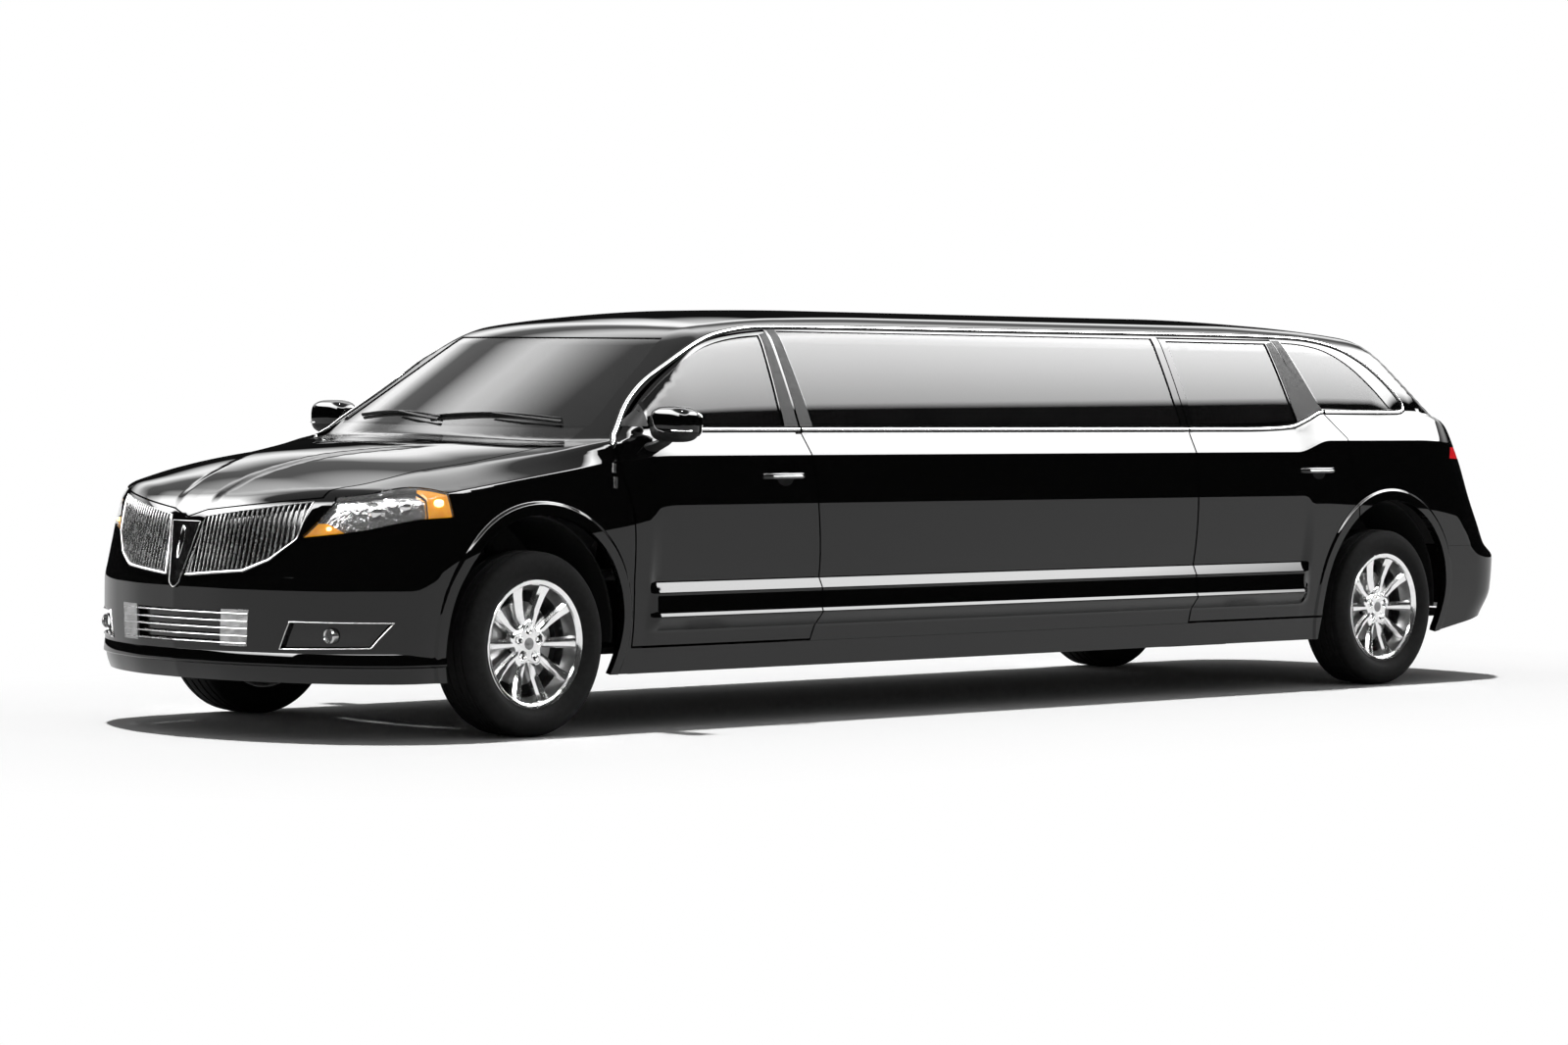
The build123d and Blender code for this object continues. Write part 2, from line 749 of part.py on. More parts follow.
mirror_station = front(-640)
mirror_height = belt_height + 52.0
mirror_reach = half_width + 125.0
for side, word in ((1, "left"), (-1, "right")):
    write(on_side(front_doors, side), f"front_door_{word}")
    write(on_side(rear_doors, side), f"rear_door_{word}")
    write(on_side(front_glass, side), f"front_door_glass_{word}")
    write(on_side(rear_glass, side), f"rear_door_glass_{word}")
    with BuildPart() as mirror:
        with BuildSketch(Plane.YZ.offset(mirror_station - 75)):
            with Locations((side * (half_width + 90), mirror_height)):
                RectangleRounded(215, 118, 40)
        with BuildSketch(Plane.YZ.offset(mirror_station + 70)):
            with Locations((side * (half_width + 75), mirror_height)):
                RectangleRounded(150, 70, 30)
        loft(ruled=True)
        with BuildSketch(Plane.YZ.offset(mirror_station - 40)):
            with BuildLine():
                Polyline(
                    (side * (half_width - 50), belt_height - 118),
                    (side * (half_width - 50), belt_height - 75),
                    (side * (half_width + 50), mirror_height - 30),
                    (side * (half_width + 120), mirror_height - 30),
                    (side * (half_width + 60), belt_height - 70),
                    close=True,
                )
            make_face()
        extrude(amount=75)
        add(outer_skin.part, mode=Mode.SUBTRACT)
    write(mirror.part, f"mirror_{word}")

# ---- Hood, tailgate and fixed glass ----------------------------------------------------
with BuildPart() as hood:
    add(cut_panel(nose_shell, hood_region(-hood_half)))
    for side in (1, -1):
        with Locations((hood_hinge[0] + 35, side * hood_hinge[1], hood_hinge[2] - 3)):
            Box(70, hood_arm_width, 15)
        with Locations((hood_hinge[0], side * hood_hinge[1], hood_hinge[2])):
            Cylinder(hood_ring_radius, hood_arm_width, rotation=(90, 0, 0))
            Cylinder(
                hinge_pin_radius + running_clearance, hood_arm_width, rotation=(90, 0, 0), mode=Mode.SUBTRACT
            )
write(hood.part, "hood")

windscreen = cut_panel(glass_layer.part, end_region(windscreen_outline, front(-1300), front(100), -window_gap))
write(windscreen, "windscreen")
with BuildPart() as side_windows:
    add(cut_panel(glass_layer.part, side_region(lounge_window_outline, -window_gap)))
    add(cut_panel(glass_layer.part, side_region(quarter_window_outline, -window_gap)))
write(side_windows.part, "side_windows")

with BuildPart() as tail_band:
    add(end_region(tail_lamp_outline, rear(-1300), rear(-500)))
    add(lamp_core, mode=Mode.SUBTRACT)
gate_window_hole = end_region(gate_window_outline, rear(-1000), rear(-100))
plate_hole_spacing = (178.0, 121.0)
plate_height = 860.0
plate_hole_radius = 3.25
plate_size = (320.0, 170.0, 8.0)
tailgate = cut_panel(
    tail_shell, end_region(gate_outline, rear(-1300), rear(-100), -gate_gap / 2), tail_band.part, gate_window_hole
)
plate_x = rear(-rear_overhang) + 180.0
with BuildPart() as gate:
    add(tailgate)
    with BuildSketch(across(plate_x)):
        with Locations((0, plate_height)):
            Rectangle(plate_size[0] + 60, plate_size[1] + 50)
    extrude(amount=-110, mode=Mode.SUBTRACT)
    with BuildSketch(across(plate_x)):
        with Locations((0, plate_height)):
            Rectangle(plate_size[0] + 60, plate_size[1] + 50)
    extrude(amount=40)
    with BuildSketch(across(plate_x)):
        with Locations((0, plate_height)):
            with GridLocations(*plate_hole_spacing, 2, 2):
                Circle(plate_hole_radius)
    extrude(amount=60, mode=Mode.SUBTRACT)
    add(gate_knuckles((0,)))
    for side in (1, -1):
        with Locations((gate_hinge[0] - 6, side * gate_hinge[1], gate_hinge[2] - 14)):
            Box(30, gate_knuckle_width, 24)
        with Locations((gate_hinge[0], side * gate_hinge[1], gate_hinge[2])):
            Cylinder(
                gate_pin_radius + running_clearance, gate_knuckle_width, rotation=(90, 0, 0), mode=Mode.SUBTRACT
            )
write(gate.part, "tailgate")
tail_lamps = cut_panel(tail_shell, tail_band.part)
write(tail_lamps, "tail_lamps")
gate_glass = cut_panel(
    glass_layer.part, end_region(gate_window_outline, rear(-1000), rear(-100), -window_gap)
)
write(gate_glass, "tailgate_glass")

# ---- Lamps and grilles -----------------------------------------------------------------
headlamps = cut_panel(nose_shell, lamp_hole, hood_hole, *grille_holes)
with BuildPart() as headlamp_pair:
    add(headlamps)
    with Locations((front(700), 0, 900)):
        Box(800, 2 * 545, 400, mode=Mode.SUBTRACT)
write(headlamp_pair.part, "headlamps")

bar_pitch, slot_width = 22.0, 12.0
wing_border = 14.0
with BuildPart() as grille:
    for side in (1, -1):
        add(cut_panel(nose_shell, end_region([(side * y, z) for y, z in grille_wing], front(700), front(1200))))
    for side in (1, -1):
        with BuildSketch(across(front(600))) as slots:
            with BuildLine():
                Polyline(*[(side * y, z) for y, z in grille_wing], close=True)
            make_face()
            offset(amount=-wing_border, kind=Kind.INTERSECTION)
            with Locations((side * 330, 790)):
                with GridLocations(bar_pitch, 1, 22, 1):
                    Rectangle(bar_pitch - slot_width, 400, mode=Mode.SUBTRACT)
        extrude(amount=600, mode=Mode.SUBTRACT)
    add(cut_panel(nose_shell, prow_hole))
    with BuildSketch(across(front(front_overhang - 110))):
        with BuildLine():
            Polyline(*prow_outline, close=True)
        make_face()
    extrude(amount=110, taper=12)
write(grille.part, "grille")

with BuildPart() as lower_grille:
    add(cut_panel(nose_shell, lower_grille_hole))
    with BuildSketch(across(front(600))):
        with Locations((0, 440)):
            with GridLocations(1, 31, 1, 4):
                Rectangle(700, 18)
    extrude(amount=600, mode=Mode.SUBTRACT)
write(lower_grille.part, "lower_grille")

fog_lamp_radius, fog_lamp_place = 40.0, (690.0, 418.0)
with BuildPart() as fog_lamps:
    for side, hole in zip((1, -1), fog_holes):
        add(cut_panel(nose_shell, hole))
    add(lamp_core, mode=Mode.INTERSECT)
    for side in (1, -1):
        with BuildSketch(across(front(780))):
            with Locations((side * fog_lamp_place[0], fog_lamp_place[1])):
                Circle(fog_lamp_radius)
        extrude(amount=70)
write(fog_lamps.part, "fog_lamps")

# ---- Structure under the skin ----------------------------------------------------------
tunnel_half, tunnel_rise = 130.0, 110.0
floor_half = floor_half_width()
with BuildPart() as floor_pan:
    with BuildSketch(across(front(-120))):
        with BuildLine():
            Polyline(
                (-floor_half, floor_height), (-tunnel_half, floor_height),
                (-tunnel_half, floor_height + tunnel_rise), (tunnel_half, floor_height + tunnel_rise),
                (tunnel_half, floor_height), (floor_half, floor_height), (floor_half, floor_top),
                (tunnel_half + floor_thickness, floor_top),
                (tunnel_half + floor_thickness, floor_top + tunnel_rise),
                (-tunnel_half - floor_thickness, floor_top + tunnel_rise),
                (-tunnel_half - floor_thickness, floor_top), (-floor_half, floor_top), close=True,
            )
        make_face()
    extrude(amount=rear(-800) - front(-120))
    add(wheel_wells.part, mode=Mode.SUBTRACT)
write(floor_pan.part, "floor_pan")

with BuildPart() as bulkhead:
    with Locations((front(-170), 0, (floor_top + belt_height - 165) / 2)):
        Box(40, 2 * 790, belt_height - 165 - floor_top)
    with Locations((front(-170), 0, floor_top + tunnel_rise / 2)):
        Box(40, 2 * (tunnel_half + floor_thickness + seat_gap), tunnel_rise + 2 * seat_gap, mode=Mode.SUBTRACT)
    add(wheel_wells.part, mode=Mode.SUBTRACT)
write(bulkhead.part, "bulkhead")

# ---- Wheels ----------------------------------------------------------------------------
def rim_section(y_in, y_out):
    """Half section of the rim's barrel, as distance from the axle and distance outboard."""
    return [
        (rim_radius, y_in), (rim_radius, y_in + 12), (bead_radius, y_in + 16), (bead_radius, y_in + 40),
        (bead_radius - 30, y_in + 60), (bead_radius - 30, y_out - 70), (bead_radius, y_out - 50),
        (bead_radius, y_out - 16), (rim_radius, y_out - 12), (rim_radius, y_out),
        (rim_radius - 12, y_out), (bead_radius - 14, y_out - 14), (bead_radius - 42, y_out - 60),
        (bead_radius - 42, y_in + 50), (bead_radius - 14, y_in + 14), (rim_radius - 12, y_in),
    ]


rim_half = 100.0
hub_face = 62.0  # outboard face of the wheel's hub, from the wheel's middle
hub_radius = 86.0
spoke_root, spoke_tip = 40.0, 52.0


def wheel(axle_x, side):
    """Rim and tyre of one wheel, each as a part."""
    axle = Plane(origin=(axle_x, side * wheel_y, tyre_radius), x_dir=(1, 0, 0), z_dir=(0, side, 0))
    turn = Axis(axle.origin, (0, side, 0))
    radial = Plane(origin=axle.origin, x_dir=(1, 0, 0), z_dir=(0, 0, -side))
    with BuildPart() as rim:
        with BuildSketch(radial):
            with BuildLine():
                Polyline(*rim_section(-rim_half, rim_half), close=True)
            make_face()
        revolve(axis=turn)
        with BuildSketch(axle.offset(hub_face - 45)):
            Circle(hub_radius)
        extrude(amount=45)
        with BuildSketch(axle.offset(hub_face - 22)):
            with PolarLocations(0, spoke_count, start_angle=0):
                with BuildLine():
                    Polyline(
                        (50, -spoke_root / 2), (rim_radius - 50, -spoke_tip / 2),
                        (rim_radius - 50, spoke_tip / 2), (50, spoke_root / 2), close=True,
                    )
                make_face()
        extrude(amount=26)
        with BuildSketch(axle.offset(hub_face - 60)):
            Circle(hub_bore_radius)
        extrude(amount=48, mode=Mode.SUBTRACT)
        with BuildSketch(axle.offset(hub_face - 60)):
            with PolarLocations(lug_circle_radius, lug_count, start_angle=side * 90):
                Circle(10)
        extrude(amount=80, mode=Mode.SUBTRACT)
    shoulder, tread_half = 22.0, tyre_width / 2
    with BuildPart() as tyre:
        with BuildSketch(radial):
            with BuildLine():
                inner_y = rim_half - 16 - seat_gap
                Polyline((bead_radius + seat_gap, -inner_y), (bead_radius + seat_gap, inner_y))
                Line((bead_radius + seat_gap, inner_y), (rim_radius + seat_gap, inner_y + 4))
                ThreePointArc((rim_radius + seat_gap, inner_y + 4), (308, tread_half), (350, tread_half - 14))
                Line((350, tread_half - 14), (tyre_radius, tread_half - 14 - shoulder))
                Line((tyre_radius, tread_half - 14 - shoulder), (tyre_radius, -tread_half + 14 + shoulder))
                Line((tyre_radius, -tread_half + 14 + shoulder), (350, -tread_half + 14))
                ThreePointArc((350, -tread_half + 14), (308, -tread_half), (rim_radius + seat_gap, -inner_y - 4))
                Line((rim_radius + seat_gap, -inner_y - 4), (bead_radius + seat_gap, -inner_y))
            make_face()
        revolve(axis=turn)
    return rim.part, tyre.part


for axle_x, place in ((front_axle_x, "front"), (rear_axle_x, "rear")):
    for side, word in ((1, "left"), (-1, "right")):
        rim_part, tyre_part = wheel(axle_x, side)
        write(rim_part, f"rim_{place}_{word}")
        write(tyre_part, f"tyre_{place}_{word}")

# ---- Knuckles and suspension -----------------------------------------------------------
hub_inner_y = wheel_y + hub_face - 60.0
spindle_end = wheel_y + hub_face - 14.0
tilt = math.radians(kingpin_tilt)
boss_radius, boss_low, boss_high = 24.0, -105.0, 165.0


def kingpin(side):
    """The plane across the steering axis, at hub height, looking up along it."""
    return Plane(
        origin=(front_axle_x, side * (wheel_y - kingpin_offset), tyre_radius),
        x_dir=(1, 0, 0),
        z_dir=(0, -side * math.sin(tilt), math.cos(tilt)),
    )


for side, word in ((1, "left"), (-1, "right")):
    with BuildPart() as knuckle:
        with BuildSketch(kingpin(side).offset(boss_low)):
            Circle(boss_radius)
        extrude(amount=boss_high - boss_low)
        with BuildSketch(Plane.XZ.offset(-side * (wheel_y - 125))):
            with Locations((front_axle_x, tyre_radius)):
                Circle(55)
        extrude(amount=-side * (hub_inner_y - seat_gap - wheel_y + 125))
        with BuildSketch(Plane.XZ.offset(-side * (wheel_y - 60))):
            with Locations((front_axle_x, tyre_radius)):
                Circle(hub_bore_radius - running_clearance)
        extrude(amount=-side * (spindle_end - wheel_y + 60))
        with Locations((front_axle_x - 90, side * (wheel_y - 100), tyre_radius - 40)):
            Box(160, 30, 30)
    write(knuckle.part, f"knuckle_{word}")

rail_y, rail_width, rail_low, rail_high = 420.0, 80.0, 300.0, 390.0
engine_foot = rail_high
tower_height, strut_top, strut_radius = 940.0, 592.0, 20.0
liner_inner, liner_side_gap = arch_radius - liner_thickness, 12.0
with BuildPart() as wheelhouses:
    for axle_x, inner in ((front_axle_x, front_well_inner), (rear_axle_x, rear_well_inner)):
        for side in (1, -1):
            with BuildSketch(Plane.XZ.offset(-side * inner)):
                with Locations((axle_x, arch_centre_height)):
                    Circle(arch_radius - seat_gap)
                    Circle(liner_inner, mode=Mode.SUBTRACT)
                with Locations((axle_x, 0)):
                    Rectangle(1200, 2 * (sill_top + 25), mode=Mode.SUBTRACT)
            extrude(amount=-side * (half_width - side_wall - liner_side_gap - inner))
    for side in (1, -1):
        with BuildSketch(kingpin(side)):
            Circle(strut_radius + 6)
        extrude(amount=arch_radius + 100, mode=Mode.SUBTRACT)
write(wheelhouses.part, "wheelhouse_liners")

with BuildPart() as front_frame:
    for side in (1, -1):
        with Locations((front(400), side * rail_y, (rail_low + rail_high) / 2)):
            Box(1000, rail_width, rail_high - rail_low)
        with Locations((front(0), side * (rail_y + 30), (rail_high + tower_height) / 2)):
            Box(300, 20, tower_height - rail_high)
        with Locations((front(0), side * 540, tower_height + 10)):
            Box(300, 200, 20)
        with BuildSketch(kingpin(side).offset(boss_high + seat_gap)):
            Circle(strut_radius)
        extrude(amount=strut_top - boss_high)
        with BuildSketch(kingpin(side).offset(boss_low - seat_gap)):
            Circle(30)
        extrude(amount=-34)
        with BuildSketch(Plane.XY.offset(rail_low - 72)):
            with BuildLine():
                Polyline(
                    (front(170), side * (rail_y - 30)), (front(170), side * (rail_y + 20)),
                    (front(22), side * 745), (front(-22), side * 745),
                    (front(-230), side * (rail_y + 20)), (front(-230), side * (rail_y - 30)), close=True,
                )
            make_face()
        extrude(amount=30)
        with Locations((front(-30), side * rail_y, rail_low - 25)):
            Box(400, 50, 70)
    for side in (1, -1):
        with Locations((front(330), side * (rail_y - rail_width / 2 - 15), engine_foot - seat_gap - 30)):
            Box(90, 50, 60)
    with Locations((front(880), 0, 440), (front(-200), 0, rail_low - 35)):
        Box(60, 2 * rail_y, 70)
    with Locations((front(880), rail_y, 415), (front(880), -rail_y, 415)):
        Box(60, rail_width, 140)
write(front_frame.part, "front_frame")

with BuildPart() as engine:
    with Locations((front(330), 0, engine_foot + 250)):
        Box(560, 740, 500)
write(engine.part, "engine_block")

with BuildPart() as rear_axle:
    for side in (1, -1):
        with BuildSketch(Plane.XZ.offset(-side * (wheel_y - 125))):
            with Locations((rear_axle_x, tyre_radius)):
                Circle(55)
        extrude(amount=-side * (hub_inner_y - seat_gap - wheel_y + 125))
        with BuildSketch(Plane.XZ.offset(-side * (wheel_y - 60))):
            with Locations((rear_axle_x, tyre_radius)):
                Circle(hub_bore_radius - running_clearance)
        extrude(amount=-side * (spindle_end - wheel_y + 60))
        with Locations((rear(150), side * 520, 265)):
            Box(380, 50, 60)
        with BuildSketch(Plane.XY.offset(290)):
            with Locations((rear(0), side * 460)):
                Circle(48)
        extrude(amount=floor_height - 290)
    with BuildSketch(Plane.XZ.offset(wheel_y - 120)):
        with Locations((rear_axle_x, 265)):
            Circle(28)
    extrude(amount=-2 * (wheel_y - 120))
    for side in (1, -1):
        with Locations((rear_axle_x, side * (wheel_y - 100), 300)):
            Box(60, 40, 130)
write(rear_axle.part, "rear_axle")

with BuildPart() as fuel_tank:
    with Locations((rear(820), 0, 250)):
        Box(520, 900, 120 - 2 * seat_gap)
    fillet(fuel_tank.edges().filter_by(Axis.Z), 60)
    with Locations((rear(820), 200, 300)):
        Box(560, 160, 200, mode=Mode.SUBTRACT)
write(fuel_tank.part, "fuel_tank")

pipe_radius, muffler_height = 32.0, 90.0
pipe_z = floor_height + tunnel_rise - seat_gap - muffler_height / 2
with BuildPart() as exhaust:
    with BuildSketch(across(front(-330))):
        with Locations((0, pipe_z)):
            Circle(pipe_radius)
    extrude(amount=rear(1150) - front(-330))
    with Locations((front(-1300), 0, pipe_z)):
        Box(420, 170, muffler_height)
write(exhaust.part, "exhaust")

# ---- Cabin -----------------------------------------------------------------------------
bulkhead_rear = front(-190)
column_tilt = 24.0
wheel_centre = (front(-720), 400.0, 965.0)
column = Plane(
    origin=wheel_centre,
    x_dir=(0, 1, 0),
    z_dir=(-math.cos(math.radians(column_tilt)), 0, math.sin(math.radians(column_tilt))),
)
wheel_ring_radius, wheel_grip_radius, column_radius, column_length = 182.0, 15.0, 26.0, 330.0
with BuildPart() as steering_wheel:
    with BuildSketch(Plane(origin=wheel_centre, x_dir=column.x_dir, z_dir=column.y_dir)):
        with Locations((wheel_ring_radius, 0)):
            Circle(wheel_grip_radius)
    revolve(axis=Axis(wheel_centre, column.z_dir))
    with BuildSketch(column.offset(-12)):
        for turn in (0, 90, 180):
            with Locations(Location((0, 0), turn - 90)):
                with Locations((wheel_ring_radius / 2, 0)):
                    Rectangle(wheel_ring_radius, 34)
        Circle(62)
    extrude(amount=20)
    with BuildSketch(column.offset(-column_length)):
        Circle(column_radius)
    extrude(amount=column_length)
write(steering_wheel.part, "steering_wheel")

dash_profile = (
    (bulkhead_rear - seat_gap, 700),
    (bulkhead_rear - seat_gap, 1045),
    (front(-330), 1105),
    (front(-540), 1090),
    (front(-600), 1040),
    (front(-560), 900),
    (front(-420), 700),
)
with BuildPart() as dashboard:
    with BuildSketch(Plane.XZ):
        with BuildLine():
            Polyline(*dash_profile, close=True)
        make_face()
    extrude(amount=770, both=True)
    with BuildSketch(column.offset(-column_length - 3)):
        Circle(column_radius + seat_gap)
    extrude(amount=column_length, mode=Mode.SUBTRACT)
    add(wheel_wells.part, mode=Mode.SUBTRACT)
write(dashboard.part, "dashboard")

seat_y, seat_width = 400.0, 480.0
seat_front = front(-880)
seat_profile = (
    (seat_front - 60, floor_top + seat_gap),
    (seat_front, 400),
    (seat_front, 585),
    (seat_front - 460, 555),
    (seat_front - 610, 1180),
    (seat_front - 590, 1200),
    (seat_front - 620, 1350),
    (seat_front - 700, 1350),
    (seat_front - 690, 1180),
    (seat_front - 600, 520),
    (seat_front - 500, floor_top + seat_gap),
)
with BuildPart() as front_seats:
    for side in (1, -1):
        with BuildSketch(Plane.XZ.offset(-side * (seat_y - seat_width / 2))):
            with BuildLine():
                Polyline(*seat_profile, close=True)
            make_face()
        extrude(amount=-side * seat_width)
write(front_seats.part, "front_seats")

partition_x, partition_thickness = front(-1660), 30.0
partition_half = (
    (tunnel_half + floor_thickness + 1, floor_top + tunnel_rise + 1),
    (tunnel_half + floor_thickness + 1, floor_top + seat_gap),
    (815, floor_top + seat_gap),
    (845, 600),
    (850, 1050),
    (825, 1100),
    (825, 1190),
    (790, 1300),
    (660, 1575),
    (590, 1615),
    (300, 1650),
)
divider_window = (700.0, 300.0)
with BuildPart() as partition:
    with BuildSketch(across(partition_x - partition_thickness / 2)):
        with BuildLine():
            Polyline(*both_sides(partition_half), close=True)
        make_face()
        with Locations((0, 1330)):
            Rectangle(*divider_window, mode=Mode.SUBTRACT)
    extrude(amount=partition_thickness)
write(partition.part, "partition")

lounge_front, lounge_back = front(-1760), rear(1500)
sofa_section = (
    (-330, floor_top + seat_gap),
    (-310, 745),
    (-620, 725),
    (-690, 1110),
    (-790, 1130),
    (-812, 730),
    (-800, floor_top + seat_gap),
)
bench_profile = (
    (rear(560), floor_top + seat_gap),
    (rear(580), 745),
    (rear(120), 725),
    (rear(-10), 1290),
    (rear(-130), 1290),
    (rear(-80), floor_top + seat_gap),
)
bench_half = rear_well_inner - 20
with BuildPart() as lounge_seats:
    with BuildSketch(across(lounge_back)):
        with BuildLine():
            Polyline(*sofa_section, close=True)
        make_face()
    extrude(amount=lounge_front - lounge_back)
    with BuildSketch(Plane.XZ):
        with BuildLine():
            Polyline(*bench_profile, close=True)
        make_face()
    extrude(amount=bench_half, both=True)
    with Locations((rear(200), 0, floor_top + tunnel_rise / 2)):
        Box(900, 2 * (tunnel_half + floor_thickness + 1), tunnel_rise + 2, mode=Mode.SUBTRACT)
write(lounge_seats.part, "lounge_seats")

bar_depth, bar_height = 230.0, 1060.0
with BuildPart() as bar:
    with Locations(((lounge_front + lounge_back) / 2, 812 - bar_depth / 2, (floor_top + seat_gap + bar_height) / 2)):
        Box(lounge_front - lounge_back, bar_depth, bar_height - floor_top - seat_gap)
write(bar.part, "bar_cabinet")
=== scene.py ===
# %% [markdown]
# # A stretch limousine, dressed for the studio
#
# The car arrives as a packed set of solids that are right in size and in how they move, but
# their skin is made of flat strips. Gloss black paint shows every strip, so this lesson makes
# the skin again as one smooth surface and cuts the panels, doors, lids and glass out of it.
# Wheels, lamps, grilles, trim and seats follow, and then their finishes and the studio.

import math

import bpy
import numpy as np
from mathutils import Matrix, Vector
from mathutils.geometry import delaunay_2d_cdt


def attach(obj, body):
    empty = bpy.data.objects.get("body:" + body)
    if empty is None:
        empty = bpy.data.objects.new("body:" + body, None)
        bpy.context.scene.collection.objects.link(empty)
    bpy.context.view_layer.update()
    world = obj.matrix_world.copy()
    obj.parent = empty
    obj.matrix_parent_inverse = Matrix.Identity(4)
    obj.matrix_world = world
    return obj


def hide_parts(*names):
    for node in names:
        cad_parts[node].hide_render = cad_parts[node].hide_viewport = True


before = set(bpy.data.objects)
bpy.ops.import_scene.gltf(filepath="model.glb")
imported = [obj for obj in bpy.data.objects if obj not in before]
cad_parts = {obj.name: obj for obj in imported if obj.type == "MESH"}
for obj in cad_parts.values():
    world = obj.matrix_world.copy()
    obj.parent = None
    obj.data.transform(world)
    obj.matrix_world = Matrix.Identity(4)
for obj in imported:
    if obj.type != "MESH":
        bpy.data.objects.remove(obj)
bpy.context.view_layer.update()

# %% [markdown]
# ## Stations
# A car body is drawn in stations along its length. Stations here are metres in front of the
# front axle or of the rear axle, as in the source of the solids, so that a place on a door
# or on a fender reads the same in both.

# %% Stations and main heights
FRONT_AXLE, REAR_AXLE = 2.8275, -2.7075
HALF_WIDTH, ROOF, BELT, SILL = 0.965, 1.730, 1.220, 0.230
ARCH_RADIUS, ARCH_HEIGHT = 0.475, 0.410
WHEEL_RADIUS, WHEEL_Y = 0.3705, 0.830


def front(x):
    """The station x in front of the front axle."""
    return FRONT_AXLE + x


def rear(x):
    """The station x in front of the rear axle."""
    return REAR_AXLE + x


def placed(station, points):
    """Points whose first number is a station, with it turned into the car's own x."""
    return [(station(x), other) for x, other in points]


# %% [markdown]
# ## Curves through a table
# A body draughtsman bends a thin lath through the measured points. The same is done here by
# one cubic piece between each two points, with the slope at each point the harmonic mean of
# the slopes on both sides. Such a curve never swings past its points, so a flank that the
# table says is flat stays flat, which a plain spline would not promise.


# %% A lath through measured points
def lath(xs, ys):
    """A function of x: a Hermite cubic between neighbours, with harmonic mean slopes."""
    order = np.argsort(xs)
    xs, ys = np.asarray(xs, float)[order], np.asarray(ys, float)[order]
    rise = np.diff(ys) / np.diff(xs)
    both = rise[:-1] * rise[1:]
    slope = np.r_[
        rise[0], np.where(both > 0, 2 * both / np.where(both > 0, rise[:-1] + rise[1:], 1), 0), rise[-1]
    ]

    def at(x):
        x = np.clip(x, xs[0], xs[-1])
        i = np.clip(np.searchsorted(xs, x, side="right") - 1, 0, len(xs) - 2)
        span = xs[i + 1] - xs[i]
        t = (x - xs[i]) / span
        ends = (2 * t**3 - 3 * t**2 + 1) * ys[i] + (3 * t**2 - 2 * t**3) * ys[i + 1]
        return ends + span * ((t**3 - 2 * t**2 + t) * slope[i] + (t**3 - t**2) * slope[i + 1])

    return at


def smooth_max(a, b, round_off):
    """The larger of two distances, with the corner between them rounded by round_off."""
    near = np.maximum(round_off - np.abs(a - b), 0) / round_off
    return np.maximum(a, b) + near * near * round_off / 4


def step(low, high, x):
    """0 below low and 1 above high, with an S curve between."""
    t = np.clip((x - low) / (high - low), 0, 1)
    return t * t * (3 - 2 * t)


def round_turn(count):
    """Evenly spaced angles for one full turn."""
    return np.linspace(0, 2 * math.pi, count + 1)[:-1]


def oblong(a0, a1, b0, b1):
    """The corners of an upright rectangle, from a0 to a1 and from b0 to b1."""
    return ((a0, b0), (a1, b0), (a1, b1), (a0, b1))


# %% [markdown]
# ## The lower body as one function
# The skin could be a patchwork of surfaces, but then the gloss breaks at each joint. Here it
# is a single function that is negative inside the car and positive outside: how far a point
# lies beyond the flank, the top, the nose or the tail, whichever is most, with the corners
# rounded. Its zero is the skin, and its slope is the normal that the paint reflects with.

# %% Tables of the lower body
# station, how far waist, shoulder and top edge lie inside half the width, and how far
# shoulder, edge and crown lie below the belt
LOWER = np.array((
    (front(1.250), 0.040, 0.075, 0.285, 0.480, 0.450, 0.430),
    (front(1.080), 0.030, 0.070, 0.280, 0.415, 0.385, 0.365),
    (front(0.930), 0.020, 0.065, 0.265, 0.340, 0.300, 0.265),
    (front(0.770), 0.010, 0.062, 0.250, 0.300, 0.250, 0.190),
    (front(0.470), 0.005, 0.055, 0.215, 0.250, 0.185, 0.108),
    (front(0.150), 0.002, 0.045, 0.180, 0.205, 0.140, 0.070),
    (front(-0.150), 0.000, 0.035, 0.112, 0.165, 0.095, 0.040),
    (front(-0.450), 0.000, 0.025, 0.056, 0.128, 0.040, 0.015),
    (front(-0.750), 0.000, 0.015, 0.070, 0.108, 0.000, -0.015),
    (rear(0.700), 0.000, 0.015, 0.070, 0.108, 0.000, -0.015),
    (rear(0.450), 0.000, 0.022, 0.094, 0.055, -0.075, -0.090),
    (rear(-0.250), 0.005, 0.030, 0.104, 0.055, -0.075, -0.090),
    (rear(-0.700), 0.015, 0.045, 0.115, 0.085, -0.020, -0.045),
    (rear(-0.900), 0.025, 0.060, 0.150, 0.130, 0.060, 0.030),
    (rear(-1.300), 0.040, 0.090, 0.200, 0.200, 0.150, 0.120),
))
waist_in, shoulder_in, edge_in, shoulder_drop, edge_drop, crown_drop = (
    lath(LOWER[:, 0], LOWER[:, k]) for k in range(1, 7)
)
# height, and how far nose and tail lie inside the overhangs
ENDS = np.array((
    (-0.200, 0.300, 0.400),
    (0.150, 0.080, 0.190),
    (0.300, 0.010, 0.110),
    (0.440, 0.000, 0.015),
    (0.590, 0.000, 0.000),
    (0.660, 0.015, 0.075),
    (0.740, 0.035, 0.120),
    (0.880, 0.070, 0.200),
    (1.070, 0.155, 0.295),
    (1.240, 0.250, 0.405),
    (1.400, 0.340, 0.510),
))
nose_in, tail_in = lath(ENDS[:, 0], ENDS[:, 1]), lath(ENDS[:, 0], ENDS[:, 2])
NOSE_X, TAIL_X = front(1.080), rear(-1.200)
